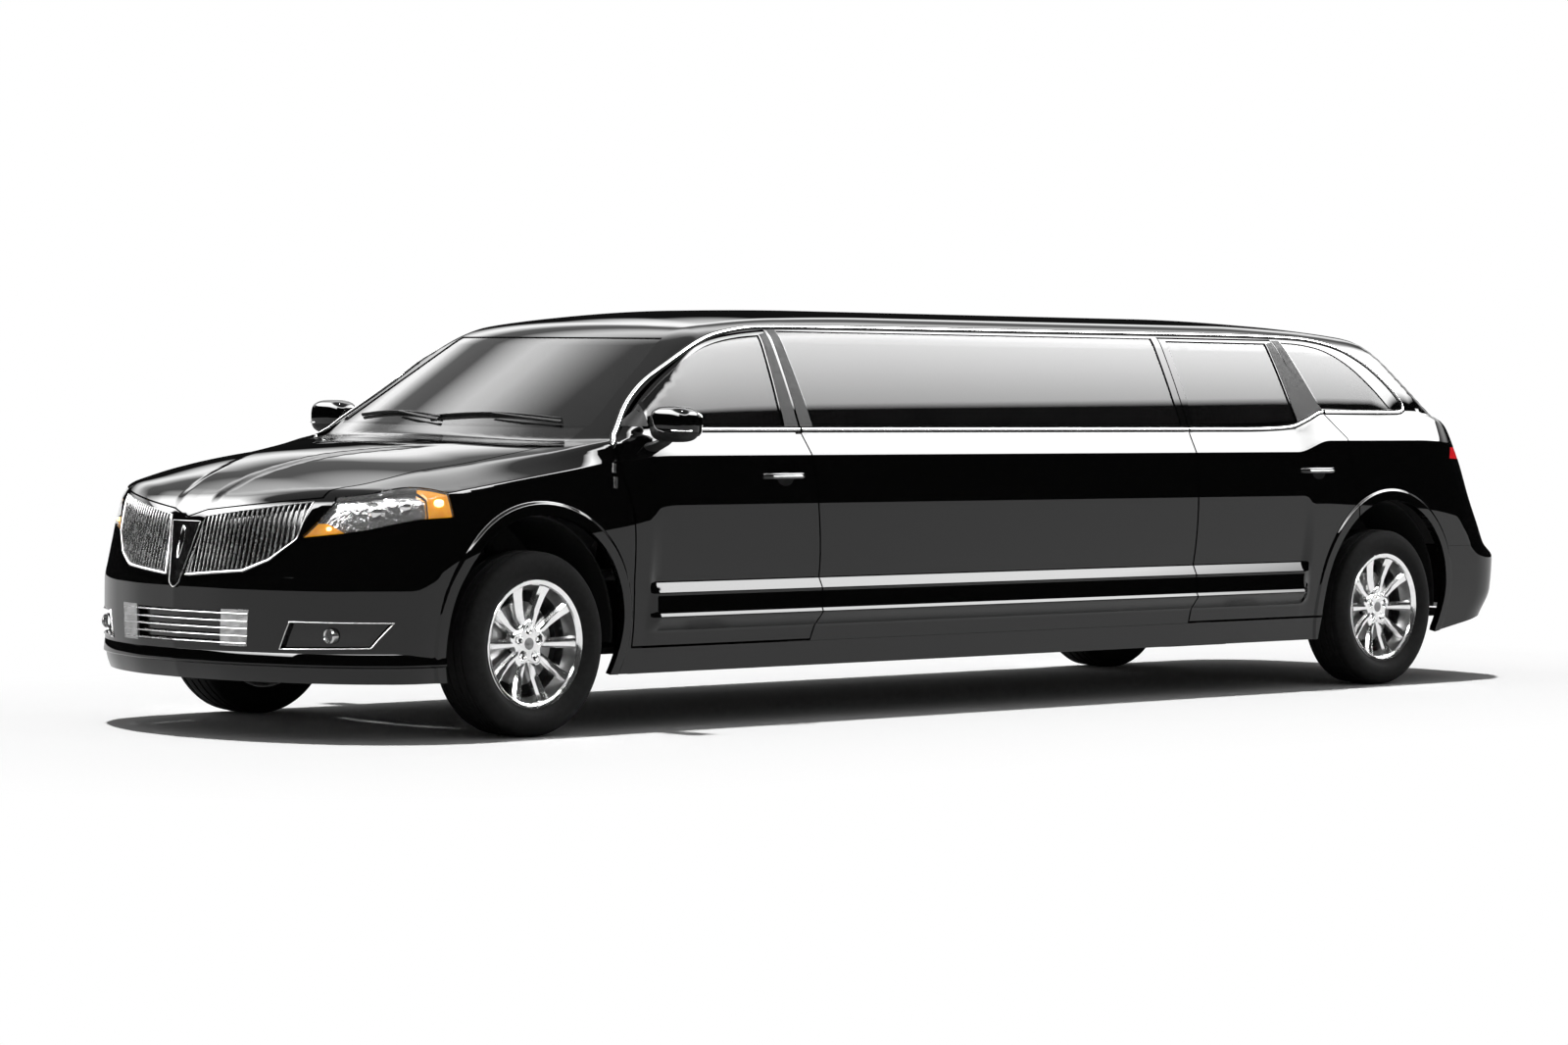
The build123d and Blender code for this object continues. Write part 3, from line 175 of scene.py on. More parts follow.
# plan of nose and tail: distance from the middle, and how far the skin lies back from its tip
NOSE_PLAN = np.array(((0, 0), (0.23, 0.021), (0.46, 0.085), (0.69, 0.200), (0.78, 0.275), (0.868, 0.390),
                      (0.95, 0.540), (1.05, 0.770)))
TAIL_PLAN = np.array(((0, 0), (0.24, 0.012), (0.48, 0.049), (0.72, 0.110), (0.80, 0.165), (0.87, 0.250),
                      (0.96, 0.400), (1.05, 0.600)))
nose_bow, tail_bow = lath(*NOSE_PLAN.T), lath(*TAIL_PLAN.T)
LEDGE, WAIST_SHARE = 0.603, 0.55
FLANK_Z = np.array((0.10, 0.23, 0.400, 0.446, 0.458, 0.478, 0.550, 0.555, LEDGE))
FLANK_PLAIN = np.array((0.105, 0.075, 0.038, 0.0295, 0.0275, 0.025, 0.017, 0.016, 0.012))
FLANK_LEDGE = np.array((0.105, 0.075, 0.036, 0.002, -0.006, 0.0035, 0.0065, 0.0045, 0.027))


# %% The lower body
def ledge_share(x):
    """How far the bright ledge along the doors stands out: 1 along them, 0 at wheels and ends."""
    return step(front(-0.60), front(-0.66), x) * step(rear(0.595), rear(0.66), x)


def flare(x, z):
    """The lip round each wheel arch, which stands out by 9 mm over 45 mm."""
    height = 0
    for axle in (FRONT_AXLE, REAR_AXLE):
        reach = np.hypot(x - axle, z - ARCH_HEIGHT)
        height = height + 0.009 * (1 - step(0.515, 0.528, reach))
    return height


def side_inset(x, z):
    """How far the flank lies inside half the width at a station and height."""
    waist, shoulder, edge = waist_in(x), shoulder_in(x), edge_in(x)
    shoulder_z, edge_z = BELT - shoulder_drop(x), BELT - edge_drop(x)
    share = ledge_share(x)
    foot = FLANK_PLAIN[-1] + share * (FLANK_LEDGE[-1] - FLANK_PLAIN[-1])
    total, m = 0, WAIST_SHARE
    for lift, weight in ((-0.0025, 0.25), (0, 0.5), (0.0025, 0.25)):
        level = z + lift
        plain, ledge = np.interp(level, FLANK_Z, FLANK_PLAIN), np.interp(level, FLANK_Z, FLANK_LEDGE)
        t = (level - LEDGE) / (shoulder_z - LEDGE)
        arc = foot * (t - m) * (t - 1) / m + waist * t * (t - 1) / (m * (m - 1))
        arc = arc + shoulder * t * (t - m) / (1 - m)
        above = shoulder + (level - shoulder_z) * (edge - shoulder) / (edge_z - shoulder_z)
        low = plain + share * (ledge - plain)
        total = total + weight * np.where(level < LEDGE, low, np.where(level < shoulder_z, arc, above))
    return total


def top_height(x, y):
    """The hood, cowl and deck: a shallow arch from edge to edge, with a raised spine on the hood."""
    edge_z, crown_z = BELT - edge_drop(x), BELT - crown_drop(x)
    across = y / (HALF_WIDTH - edge_in(x))
    spine_half = np.interp(x, (front(-0.1), front(0.42), front(0.73), front(1.03)), (0.42, 0.25, 0.15, 0.09))
    spine = 0.009 * (1 - step(-0.03, 0.03, y - spine_half)) * step(front(-0.05), front(0.25), x)
    return crown_z - (crown_z - edge_z) * across**2 + spine


def lower_body(p):
    """How far points lie outside the lower body, roughly in metres."""
    x, y, z = p[:, 0], np.abs(p[:, 1]), p[:, 2]
    side = y - HALF_WIDTH + side_inset(x, z) - flare(x, z)
    top = z - top_height(x, y)
    nose_slope = (nose_bow(y + 0.01) - nose_bow(y - 0.01)) / 0.02
    tail_slope = (tail_bow(y + 0.01) - tail_bow(y - 0.01)) / 0.02
    nose = (x - NOSE_X + nose_in(z) + nose_bow(y)) / np.sqrt(1 + nose_slope**2)
    tail = (TAIL_X + tail_in(z) + tail_bow(y) - x) / np.sqrt(1 + tail_slope**2)
    return smooth_max(smooth_max(side, top, 0.022), np.maximum(nose, tail), 0.05)


# %% [markdown]
# ## The greenhouse as one function
# Glass, pillars and roof are drawn the same way: the side glass leans in as it rises and
# bulges a little, the roof is a shallow arch with a soft crease over the doors, and the two
# screens rake back and forward in a bowed plan.

# %% Tables of the greenhouse
ROOF_LINE = np.array((
    (front(0.300), 0.290, 0.070), (front(-0.600), 0.175, 0.008), (front(-0.930), 0.095, 0.0),
    (front(-1.250), 0.042, 0.0), (front(-1.700), 0.010, 0.0), (front(-2.300), 0.0, 0.0),
    (rear(0.900), 0.0, 0.0), (rear(0.350), 0.015, 0.0), (rear(0.0), 0.040, 0.0),
    (rear(-0.300), 0.082, 0.015), (rear(-0.600), 0.140, 0.040), (rear(-1.000), 0.250, 0.090),
))
roof_drop, cabin_in = lath(ROOF_LINE[:, 0], ROOF_LINE[:, 1]), lath(ROOF_LINE[:, 0], ROOF_LINE[:, 2])
GLASS_IN, TUMBLEHOME, BULGE = 0.070, 0.45, 0.010
RAIL_DROP, CREASE_DROP, CREASE_IN = 0.085, 0.038, 0.075
FOOT = 1.150
SCREEN_FOOT, SCREEN_RAKE, SCREEN_ROUND = front(-0.130), 1.66, 1.660
BACK_FOOT, BACK_RAKE, BACK_ROUND = rear(-0.745), 1.135, 3.408


# %% The greenhouse
def glass_y(z):
    """Half width of the cabin at a height, before its bulge."""
    return HALF_WIDTH - GLASS_IN - (z - BELT) * TUMBLEHOME


def greenhouse(p):
    """How far points lie outside the greenhouse, roughly in metres."""
    x, y, z = p[:, 0], np.abs(p[:, 1]), p[:, 2]
    crown = ROOF - roof_drop(x)
    rail_z = crown - RAIL_DROP
    t = (z - FOOT) / (rail_z - FOOT)
    side = (y - glass_y(z) - BULGE * 4 * t * (1 - t) + cabin_in(x)) / math.hypot(1, TUMBLEHOME)
    crease_y = glass_y(rail_z) - CREASE_IN - cabin_in(x)
    arch = crown - CREASE_DROP * (y / crease_y) ** 2
    rail = crown - CREASE_DROP - (y - crease_y) * (RAIL_DROP - CREASE_DROP) / CREASE_IN
    roof = smooth_max(z - arch, z - rail, 0.03)
    screen_bow = SCREEN_ROUND - np.sqrt(np.maximum(SCREEN_ROUND**2 - y**2, 0.01))
    back_bow = BACK_ROUND - np.sqrt(BACK_ROUND**2 - y**2)
    screen = (x - SCREEN_FOOT + (z - FOOT) * SCREEN_RAKE + screen_bow) / math.hypot(1, SCREEN_RAKE)
    back = (BACK_FOOT + (z - FOOT) * BACK_RAKE + back_bow - x) / math.hypot(1, BACK_RAKE)
    shape = smooth_max(smooth_max(side, roof, 0.035), smooth_max(screen, back, 0.02), 0.04)
    return np.maximum(shape, FOOT + 0.015 + 0.045 * step(front(-0.55), front(-0.75), x) - z)


def skin(p):
    """The whole outer skin: the union of lower body and greenhouse, with a small fillet."""
    return -smooth_max(-lower_body(p), -greenhouse(p), 0.010)


def outward(p, field=skin):
    """Unit normals at points: the slope of the field, by differences of 1 mm."""
    slopes = [field(p + d) - field(p - d) for d in np.eye(3) * 0.001]
    n = np.stack(slopes, 1)
    return n / np.linalg.norm(n, axis=1)[:, None]


def shoot(origin, way, reach, field=skin):
    """The point where each ray leaves the body, and whether it does: halving, then chords."""
    low, high = np.zeros(len(origin)), np.full(len(origin), float(reach))
    at_low, at_high = field(origin), field(origin + high[:, None] * way)
    good = (at_low < 0) & (at_high > 0)
    for turn in range(26):
        mid = (low + high) / 2
        if turn > 10:
            chord = low - at_low * (high - low) / np.where(at_high == at_low, 1, at_high - at_low)
            mid = np.where(turn % 3 == 0, mid, np.clip(chord, low, high))
        value = field(origin + mid[:, None] * way)
        inside = value < 0
        low, at_low = np.where(inside, mid, low), np.where(inside, value, at_low)
        high, at_high = np.where(inside, high, mid), np.where(inside, at_high, value)
        if turn > 15 and np.max(np.minimum(np.abs(at_low), np.abs(at_high))[good], initial=0) < 1e-6:
            break
    best = np.where(np.abs(at_low) < np.abs(at_high), low, high)
    return origin + best[:, None] * way, good


probe = shoot(np.array([[front(-1.0), 0, 0.9], [0, 0, 1.0]]), np.array([[0, 1.0, 0], [0, 0, 1.0]]), 1.2)
print("skin at a door and at the roof", np.round(probe[0], 4).tolist(), probe[1])


# %% [markdown]
# ## Cutting panels out of the skin
# Sheet metal is drawn whole and then cut along the shut lines. The same outlines that cut the
# solids cut the skin here: each is a prism that runs across the car, along it, or upright. A
# flat chart unrolls one region of the skin, the outlines are drawn on that chart, triangles
# fill it in, and each corner is lifted back to the skin. Booleans would do the cutting too,
# but they leave long thin faces that spoil a gloss finish.


# %% Outlines: closed lines that are smooth except at sharp corners
def rounded(points, sharp=32, spacing=0.018):
    """A closed Hermite curve through the points, with a corner where it turns by over sharp degrees."""
    p = np.asarray(points, float)
    back, ahead = p - np.roll(p, 1, 0), np.roll(p, -1, 0) - p
    lengths = np.linalg.norm(ahead, axis=1)
    before = np.linalg.norm(back, axis=1)
    turn = np.degrees(np.arccos(np.clip(np.sum(back * ahead, 1) / before / lengths, -1, 1)))
    corner = (turn > sharp)[:, None]
    blend = (back / before[:, None] * lengths[:, None] + ahead / lengths[:, None] * before[:, None])
    blend = blend / np.maximum(np.linalg.norm(blend, axis=1), 1e-9)[:, None]
    leave = np.where(corner, ahead / lengths[:, None], blend) * lengths[:, None]
    arrive = np.where(corner, back / before[:, None], blend)
    arrive = np.roll(arrive, -1, 0) * lengths[:, None]
    out = []
    for i, length in enumerate(lengths):
        t = np.linspace(0, 1, max(2, int(length / spacing) + 1), endpoint=False)[:, None]
        q, r = p[i], p[(i + 1) % len(p)]
        out.append((2 * t**3 - 3 * t**2 + 1) * q + (t**3 - 2 * t**2 + t) * leave[i]
                   + (3 * t**2 - 2 * t**3) * r + (t**3 - t**2) * arrive[i])
    return np.vstack(out)


def grown(points, by):
    """The closed outline moved outwards by a distance, with its corners kept sharp."""
    p = np.asarray(points, float)
    area = np.sum(p[:, 0] * np.roll(p[:, 1], -1) - p[:, 1] * np.roll(p[:, 0], -1))
    ahead = np.roll(p, -1, 0) - p
    ahead /= np.linalg.norm(ahead, axis=1)[:, None]
    out = np.stack([ahead[:, 1], -ahead[:, 0]], 1) * (1 if area > 0 else -1)
    last = np.roll(out, 1, 0)
    return p + by * (out + last) / np.maximum(1 + np.sum(out * last, 1), 0.4)[:, None]


def within(points, outline):
    """Which points lie inside the closed outline: an odd number of its edges pass to their right."""
    x, y = points[:, :1], points[:, 1:]
    a, b = outline, np.roll(outline, -1, 0)
    cross = (a[:, 1] > y) != (b[:, 1] > y)
    rise = np.where(b[:, 1] == a[:, 1], 1, b[:, 1] - a[:, 1])
    return (np.sum(cross & (x < (b[:, 0] - a[:, 0]) * (y - a[:, 1]) / rise + a[:, 0]), 1) % 2) == 1


# view: the two coordinates its outline is drawn in, and the third, which it runs along
AXES = {"side": (0, 2, 1), "nose": (1, 2, 0), "tail": (1, 2, 0), "plan": (0, 1, 2)}
BEHIND = {"nose": front(0.45), "tail": rear(-0.15)}  # where rays to the nose and tail start
FAR = 9.0  # beyond the car on any side


def cutter_of(line, view="side", low=-FAR, high=FAR, behind=None):
    """A cutter: an outline in one view, and how far it reaches along the third axis."""
    return {"view": view, "line": line, "low": low, "high": high, "behind": behind}


def smooth_cut(view, points, **how):
    """A cutter whose outline runs smoothly through the points."""
    return cutter_of(rounded(points), view, **how)


def sharp_cut(view, points, **how):
    """A cutter whose outline keeps every corner."""
    return cutter_of(rounded(points, 0), view, **how)


def inside(cutter, p):
    """Which points of space lie in the cutter, or in all of several."""
    if isinstance(cutter, tuple):
        return np.all([inside(one, p) for one in cutter], axis=0)
    a, b, c = AXES[cutter["view"]]
    span = (p[:, c] > cutter["low"]) & (p[:, c] < cutter["high"])
    out = np.zeros(len(p), bool)
    out[span] = within(p[span][:, (a, b)], cutter["line"])
    return out


def drawn(cutter):
    """The cutter's outline drawn on the skin: lists of 3-D points, and which of them hit it."""
    if isinstance(cutter, tuple):
        return [line for one in cutter for line in drawn(one)]
    (a, b), view = cutter["line"].T, cutter["view"]
    if view == "side":
        start, way = FLANK["lift"](a, b)
        return [shoot(start, side * way, 1.08) for side in (1, -1)]
    if view == "plan":
        return [shoot(*LID["lift"](a, b), 1.2)]
    behind = BEHIND[view] if cutter["behind"] is None else cutter["behind"]
    return [shoot(*end_chart(1 if view == "nose" else -1, behind)["lift"](a, b), 1.3)]


# %% [markdown]
# ## Charts
# A chart is three functions: one lifts flat points to rays that meet the skin, one drops points
# of the skin back to the plane, and one says which points are the chart's own.

# %% Charts: flat maps of one region of the skin, and the way back to it
def flank_chart():
    """x and z, lifted straight out to the left."""
    def lift(u, v):
        return np.stack([u, 0 * u, v], 1), np.stack([0 * u, 0 * u + 1, 0 * u], 1)
    return {"lift": lift, "drop": lambda p: p[:, (0, 2)], "mine": lambda p: p[:, 1] > 0}


def barrel_chart(axis_z, radius=0.9):
    """x, and the angle round a line along the car at axis_z, as an arc of that radius."""
    def lift(u, v):
        way = np.stack([0 * u, np.sin(v / radius), np.cos(v / radius)], 1)
        return np.stack([u, 0 * u, 0 * u + axis_z], 1), way

    def drop(p):
        return np.stack([p[:, 0], np.arctan2(p[:, 1], p[:, 2] - axis_z) * radius], 1)
    return {"lift": lift, "drop": drop, "mine": lambda p: p[:, 0] < 99}


def wrap_chart(centre_x, way=1, radius=0.9):
    """z, and the angle in plan round an upright line at centre_x, for nose or tail."""
    def lift(u, v):
        out = np.stack([way * np.cos(u / radius), np.sin(u / radius), 0 * u], 1)
        return np.stack([0 * u + centre_x, 0 * u, v], 1), out

    def drop(p):
        return np.stack([np.arctan2(p[:, 1], way * (p[:, 0] - centre_x)) * radius, p[:, 2]], 1)
    return {"lift": lift, "drop": drop, "mine": lambda p: way * (p[:, 0] - centre_x) > -2}


def lid_chart(floor=0.7):
    """x and y, lifted straight up."""
    def lift(u, v):
        return np.stack([u, v, 0 * u + floor], 1), np.stack([0 * u, 0 * u, 0 * u + 1], 1)
    return {"lift": lift, "drop": lambda p: p[:, :2], "mine": lambda p: p[:, 2] > floor}


def end_chart(way, start_x):
    """y and z, shot forward or back from start_x."""
    def lift(u, v):
        return np.stack([0 * u + start_x, u, v], 1), np.stack([0 * u + way, 0 * u, 0 * u], 1)
    return {"lift": lift, "drop": lambda p: p[:, 1:], "mine": lambda p: way * (p[:, 0] - start_x) > 0}


FLANK, LID = flank_chart(), lid_chart()
NOSE_WRAP, TAIL_END = wrap_chart(front(0.2)), end_chart(-1, rear(-0.15))


# %% [markdown]
# ## Sheets and panels
# A sheet is a region of the skin with its cuts, still without thickness. A panel gives it a
# wall and a rim, and puts it on the body that it moves with.

# %% A sheet: one cut region of the skin as points, normals and triangles
def sheet_of_skin(chart, area, keep, cut=(), grid=(0.03, 0.02), field=skin, seams=()):
    """The chart's area, inside every cutter of keep and outside every one of cut.

    A grid of points and the outlines are joined by triangles whose edges follow the outlines,
    the triangles outside are dropped, and each point is lifted to the skin."""
    (u0, v0), (u1, v1) = area
    lines, links = [np.array(oblong(u0, u1, v0, v1))], [np.array(((0, 1), (1, 2), (2, 3), (3, 0)))]
    count = 4
    for cutter in (*keep, *cut, *seams):
        for points, good in drawn(cutter):
            flat = chart["drop"](points)
            good = good & chart["mine"](points)
            good &= (flat[:, 0] > u0 - 0.1) & (flat[:, 0] < u1 + 0.1)
            good &= (flat[:, 1] > v0 - 0.1) & (flat[:, 1] < v1 + 0.1)
            ahead = np.roll(np.arange(len(flat)), -1)
            near = np.linalg.norm(flat - flat[ahead], axis=1) < 0.12
            index = np.cumsum(good) - 1
            ok = good & good[ahead] & near
            lines.append(flat[good])
            links.append(np.stack([index[ok], index[ahead][ok]], 1) + count)
            count += int(good.sum())
    marks, edges = np.vstack(lines), np.vstack(links)
    nu, nv = (max(2, int(round((b - a) / g)) + 1) for a, b, g in ((u0, u1, grid[0]), (v0, v1, grid[1])))
    gu, gv = np.meshgrid(np.linspace(u0, u1, nu), np.linspace(v0, v1, nv))
    spots = np.stack([gu.ravel(), gv.ravel()], 1)
    scale = np.array(grid)
    gap = np.full(len(spots), 9.0)
    for part in np.array_split(marks / scale, max(1, len(marks) // 64)):
        gap = np.minimum(gap, np.min(np.linalg.norm(spots[:, None] / scale - part[None], axis=2), axis=1))
    spots = spots[gap > 0.45]
    flat = np.vstack([marks, spots])
    result = delaunay_2d_cdt([Vector(q) for q in flat.tolist()], edges.tolist(), [], 0, 1e-6)
    flat = np.array([tuple(q) for q in result[0]])
    tri = np.array(result[2])
    origin, way = chart["lift"](flat[:, 0], flat[:, 1])
    p, good = shoot(origin, way, 1.6, field)
    middle = p[tri].mean(1)
    here = chart["drop"](middle)
    use = good[tri].all(1) & (here[:, 0] > u0) & (here[:, 0] < u1) & (here[:, 1] > v0) & (here[:, 1] < v1)
    for cutter in keep:
        use &= inside(cutter, middle)
    for cutter in cut:
        use &= ~inside(cutter, middle)
    tri = tri[use]
    used, tri = np.unique(tri, return_inverse=True)
    tri = tri.reshape(-1, 3)
    p = p[used]
    n = outward(p, field)
    face = np.cross(p[tri[:, 1]] - p[tri[:, 0]], p[tri[:, 2]] - p[tri[:, 0]])
    turned = np.sum(face * n[tri].mean(1), 1) < 0
    tri[turned] = tri[turned][:, ::-1]
    return {"p": p, "n": n, "tri": tri}


def mirrored(sheet):
    """The same sheet on the other side of the car."""
    flip = np.array((1, -1, 1))
    return {"p": sheet["p"] * flip, "n": sheet["n"] * flip, "tri": sheet["tri"][:, ::-1]}


def joined(*sheets):
    """Several sheets as one, which stay separate shells."""
    start = np.cumsum([0] + [len(s["p"]) for s in sheets[:-1]])
    return {
        "p": np.vstack([s["p"] for s in sheets]),
        "n": np.vstack([s["n"] for s in sheets]),
        "tri": np.vstack([s["tri"] + k for s, k in zip(sheets, start)]),
    }


def paired(sheet):
    """A sheet and its mirror image on the other side as one."""
    return joined(sheet, mirrored(sheet))


SIDES = (("left", lambda part: part), ("right", mirrored))


# %% [markdown]
# ## Pieces
# Every piece goes through one function, which says what it rides on and which imported nodes it
# stands for. It looks up the slot of its finish, but keeps it nowhere.

# %% A panel: a sheet with thickness
# slots of the finishes that aren't named after theirs
SLOTS = {
    "gloss_black_trim": "black_trim", "black_backed_glass": "black_trim", "grille_chrome": "chrome",
    "satin_chrome": "chrome", "mirror_glass": "chrome", "lamp_reflector": "chrome",
    "rim_inside": "wheel_chrome", "tyre_rubber": "tyre", "amber_lens": "clear_lens", "lit_bulb": None,
}


def place(name, body, materials, mesh, nodes=(), slot=None):
    """Puts a mesh into the scene as a piece on a body, with its materials, for these nodes."""
    piece = bpy.data.objects.new(name, mesh)
    bpy.context.scene.collection.objects.link(piece)
    for material in materials:
        mesh.materials.append(material)
    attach(piece, body)
    if nodes:
        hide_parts(*nodes)
    look = materials[0].name.split(".")[0]
    slot = slot or SLOTS.get(look, look)
    return piece


def shell_mesh(name, sheet, wall, depth=0.0):
    """A closed shell: the sheet, sunk by depth, its copy one wall further in, and a rim between.

    wall is a number or one number for each point. Outer and inner faces keep the skin's own
    normals, so that gloss runs on over the shut lines, and the rim is flat."""
    p, n, tri = sheet["p"], sheet["n"], sheet["tri"]
    wall = np.broadcast_to(wall, len(p))[:, None]
    outer, inner = p - n * depth, p - n * (depth + wall)
    edges = np.vstack([tri[:, (0, 1)], tri[:, (1, 2)], tri[:, (2, 0)]])
    key = np.sort(edges, 1) @ np.array((1, len(p) + 1))
    _, first, times = np.unique(key, return_index=True, return_counts=True)
    rim = edges[first[times == 1]]
    count = len(p)
    a, b = rim[:, 0], rim[:, 1]
    rims = np.vstack([np.stack([b, a, a + count], 1), np.stack([b, a + count, b + count], 1)])
    faces = np.vstack([tri, tri[:, ::-1] + count, rims])
    mesh = bpy.data.meshes.new(name)
    verts = np.vstack([outer, inner])
    mesh.vertices.add(len(verts))
    mesh.vertices.foreach_set("co", verts.astype(np.float32).ravel())
    mesh.loops.add(faces.size)
    mesh.loops.foreach_set("vertex_index", faces.astype(np.int32).ravel())
    mesh.polygons.add(len(faces))
    mesh.polygons.foreach_set("loop_start", np.arange(0, faces.size, 3, dtype=np.int32))
    mesh.polygons.foreach_set(
        "material_index",
        np.r_[np.zeros(len(tri)), np.ones(len(tri)), np.zeros(len(rims))].astype(np.int32)
    )
    mesh.update(calc_edges=True)
    flat = np.cross(verts[rims[:, 1]] - verts[rims[:, 0]], verts[rims[:, 2]] - verts[rims[:, 0]])
    flat /= np.maximum(np.linalg.norm(flat, axis=1), 1e-12)[:, None]
    normals = np.vstack([n[tri].reshape(-1, 3), -n[tri[:, ::-1]].reshape(-1, 3), np.repeat(flat, 3, 0)])
    mesh.normals_split_custom_set(normals)
    return mesh


def panel(name, body, materials, sheet, wall, depth=0.0, nodes=(), slot=None):
    """A shell of the sheet as a piece; the second material is its inner face."""
    place(name, body, materials, shell_mesh(name, sheet, wall, depth), nodes, slot)
    print(f"{name}: {2 * len(sheet['tri'])} triangles and a rim")


def skin_panel(
    name, body, looks, chart, area, keep, cut, grid, wall, depth=0.0, node=None, twin=False, **how
):
    """A panel cut from the skin in one step, together with its mirror image if it has a twin."""
    sheet = sheet_of_skin(chart, area, keep, cut, grid, **how)
    panel(name, body, looks, paired(sheet) if twin else sheet, wall, depth, [node] if node else ())


# %% [markdown]
# ## Shader sums in plain Python
# A material is a graph of nodes, and a graph is hard to read. The class below wraps one
# socket and turns Python's own signs into Math nodes, so a mask reads like a formula. Every
# other node comes from one method, which sets the node's own settings first.


# %% Sockets that can be added and multiplied
class Wire:
    """One output socket of a material's graph, with arithmetic."""

    def __init__(self, tree, socket=None):
        self.tree, self.socket = tree, socket

    def new(self, kind, inputs=(), out=0, **settings):
        """A node of that kind with its settings, then its inputs as values or wires; gives an output."""
        node = self.tree.nodes.new(kind)
        for name, value in settings.items():
            setattr(node, name, value)
        for name, value in dict(inputs).items():
            if isinstance(value, Wire):
                self.tree.links.new(value.socket, node.inputs[name])
            else:
                node.inputs[name].default_value = value
        return Wire(self.tree, node.outputs[out] if node.outputs else None)

    def maths(self, operation, a, b=0.0, clamp=False):
        return self.new("ShaderNodeMath", {0: a, 1: b}, operation=operation, use_clamp=clamp)

    def __add__(self, other):
        return self.maths("ADD", self, other)

    __radd__ = __add__

    def __mul__(self, other):
        return self.maths("MULTIPLY", self, other)

    __rmul__ = __mul__

    def __sub__(self, other):
        return self.maths("SUBTRACT", self, other)

    def __rsub__(self, other):
        return self.maths("SUBTRACT", other, self)

    def __truediv__(self, other):
        return self.maths("DIVIDE", self, other)

    def __rtruediv__(self, other):
        return self.maths("DIVIDE", other, self)

    def clamped(self):
        return self.maths("ADD", self, 0.0, clamp=True)

    def between(self, low, high):
        """0 at low and 1 at high, clamped."""
        return ((self - low) / (high - low)).clamped()


def rgb(value):
    """A grey or a colour as four numbers."""
    return (value, value, value, 1.0) if isinstance(value, float) else (*value, 1.0)


def finish(name, colour, second, grain=6.0, stretch=(1, 1, 1), rough=(0.4, 0.5), bump=None, **shader):
    """A finish: two colours and two roughnesses mixed by noise on Object coordinates, and a bump.

    grain is the noise's scale, bump is (scale, depth in metres), and shader holds constant
    values for the shader's other sockets."""
    material = bpy.data.materials.new(name)
    material.use_nodes = True
    tree = material.node_tree
    tree.nodes.clear()
    start = Wire(tree)
    where = start.new("ShaderNodeTexCoord", out=3)
    spread = start.new("ShaderNodeMapping", {"Vector": where, "Scale": stretch})
    noise = start.new("ShaderNodeTexNoise", {
        "Vector": spread, "Scale": grain, "Detail": 6.0, "Roughness": 0.6
    })
    share = noise.between(0.35, 0.65)
    tone = start.new("ShaderNodeMix", {0: share, 6: rgb(colour), 7: rgb(second)}, out=2, data_type="RGBA")
    inputs = {"Base Color": tone, "Roughness": share * (rough[1] - rough[0]) + rough[0]}
    if bump:
        fine = start.new("ShaderNodeTexNoise", {"Vector": spread, "Scale": bump[0], "Detail": 3.0})
        inputs["Normal"] = start.new("ShaderNodeBump", {
            "Height": fine, "Distance": bump[1], "Strength": 0.6
        })
    for key, value in shader.items():
        inputs[key.replace("_", " ")] = value
    shaded = start.new("ShaderNodeBsdfPrincipled", inputs)
    start.new("ShaderNodeOutputMaterial", {"Surface": shaded})
    return material


# %% [markdown]
# ## Finishes
# The body is black lacquer under a clear coat: the black under it gives almost nothing back,
# so all that the eye sees is the mirror of the coat. A second shine from the black layer
# would grey it, so that layer's own shine is switched off.

# %% Paint, glass, metals and rubber
PAINT = finish("body_paint", 0.0012, 0.0030, grain=900.0, rough=(0.30, 0.36), Specular_IOR_Level=0.0,
               Coat_Weight=0.75, Coat_Roughness=0.012, Coat_IOR=1.52)
TRIM = finish(
    "black_trim", 0.010, 0.016, grain=60.0, rough=(0.42, 0.55), bump=(900.0, 0.00012),
    Specular_IOR_Level=0.12
)
GLOSS_BLACK = finish(
    "gloss_black_trim", 0.004, 0.007, grain=120.0, rough=(0.10, 0.16), Specular_IOR_Level=0.45
)
CHROME = finish("chrome", 0.86, 0.80, grain=40.0, rough=(0.05, 0.10), Metallic=1.0)
GRILLE_CHROME = finish("grille_chrome", 0.30, 0.22, grain=30.0, rough=(0.20, 0.30), Metallic=0.85)
SATIN_CHROME = finish("satin_chrome", 0.52, 0.44, grain=30.0, rough=(0.18, 0.26), Metallic=0.95)
WHEEL = finish("wheel_chrome", 0.92, 0.85, grain=25.0, rough=(0.10, 0.17), Metallic=0.92)
# the inside of the rim is the wheel's alloy painted dark: painted shade seen between the spokes
SHADED_RIM = finish("rim_inside", 0.22, 0.16, grain=25.0, rough=(0.28, 0.38), Metallic=0.9)
RUBBER = finish(
    "tyre_rubber", 0.006, 0.011, grain=35.0, rough=(0.72, 0.85), bump=(260.0, 0.0004),
    Specular_IOR_Level=0.08
)
UNDER = finish(
    "underbody", 0.010, 0.018, grain=18.0, rough=(0.7, 0.85), bump=(140.0, 0.0012),
    Specular_IOR_Level=0.05
)
CAST = finish("cast_metal", 0.20, 0.28, grain=30.0, rough=(0.45, 0.6), bump=(320.0, 0.0005), Metallic=0.8)
STEEL = finish("bare_steel", 0.30, 0.42, grain=22.0, rough=(0.35, 0.5), bump=(200.0, 0.0003), Metallic=0.9)
DASH = finish("dash_trim", 0.020, 0.030, grain=50.0, rough=(0.5, 0.62), bump=(420.0, 0.0005))
LEATHER = finish(
    "seat_leather", (0.030, 0.026, 0.024), (0.050, 0.044, 0.040), grain=14.0, rough=(0.36, 0.5),
    bump=(330.0, 0.0009)
)
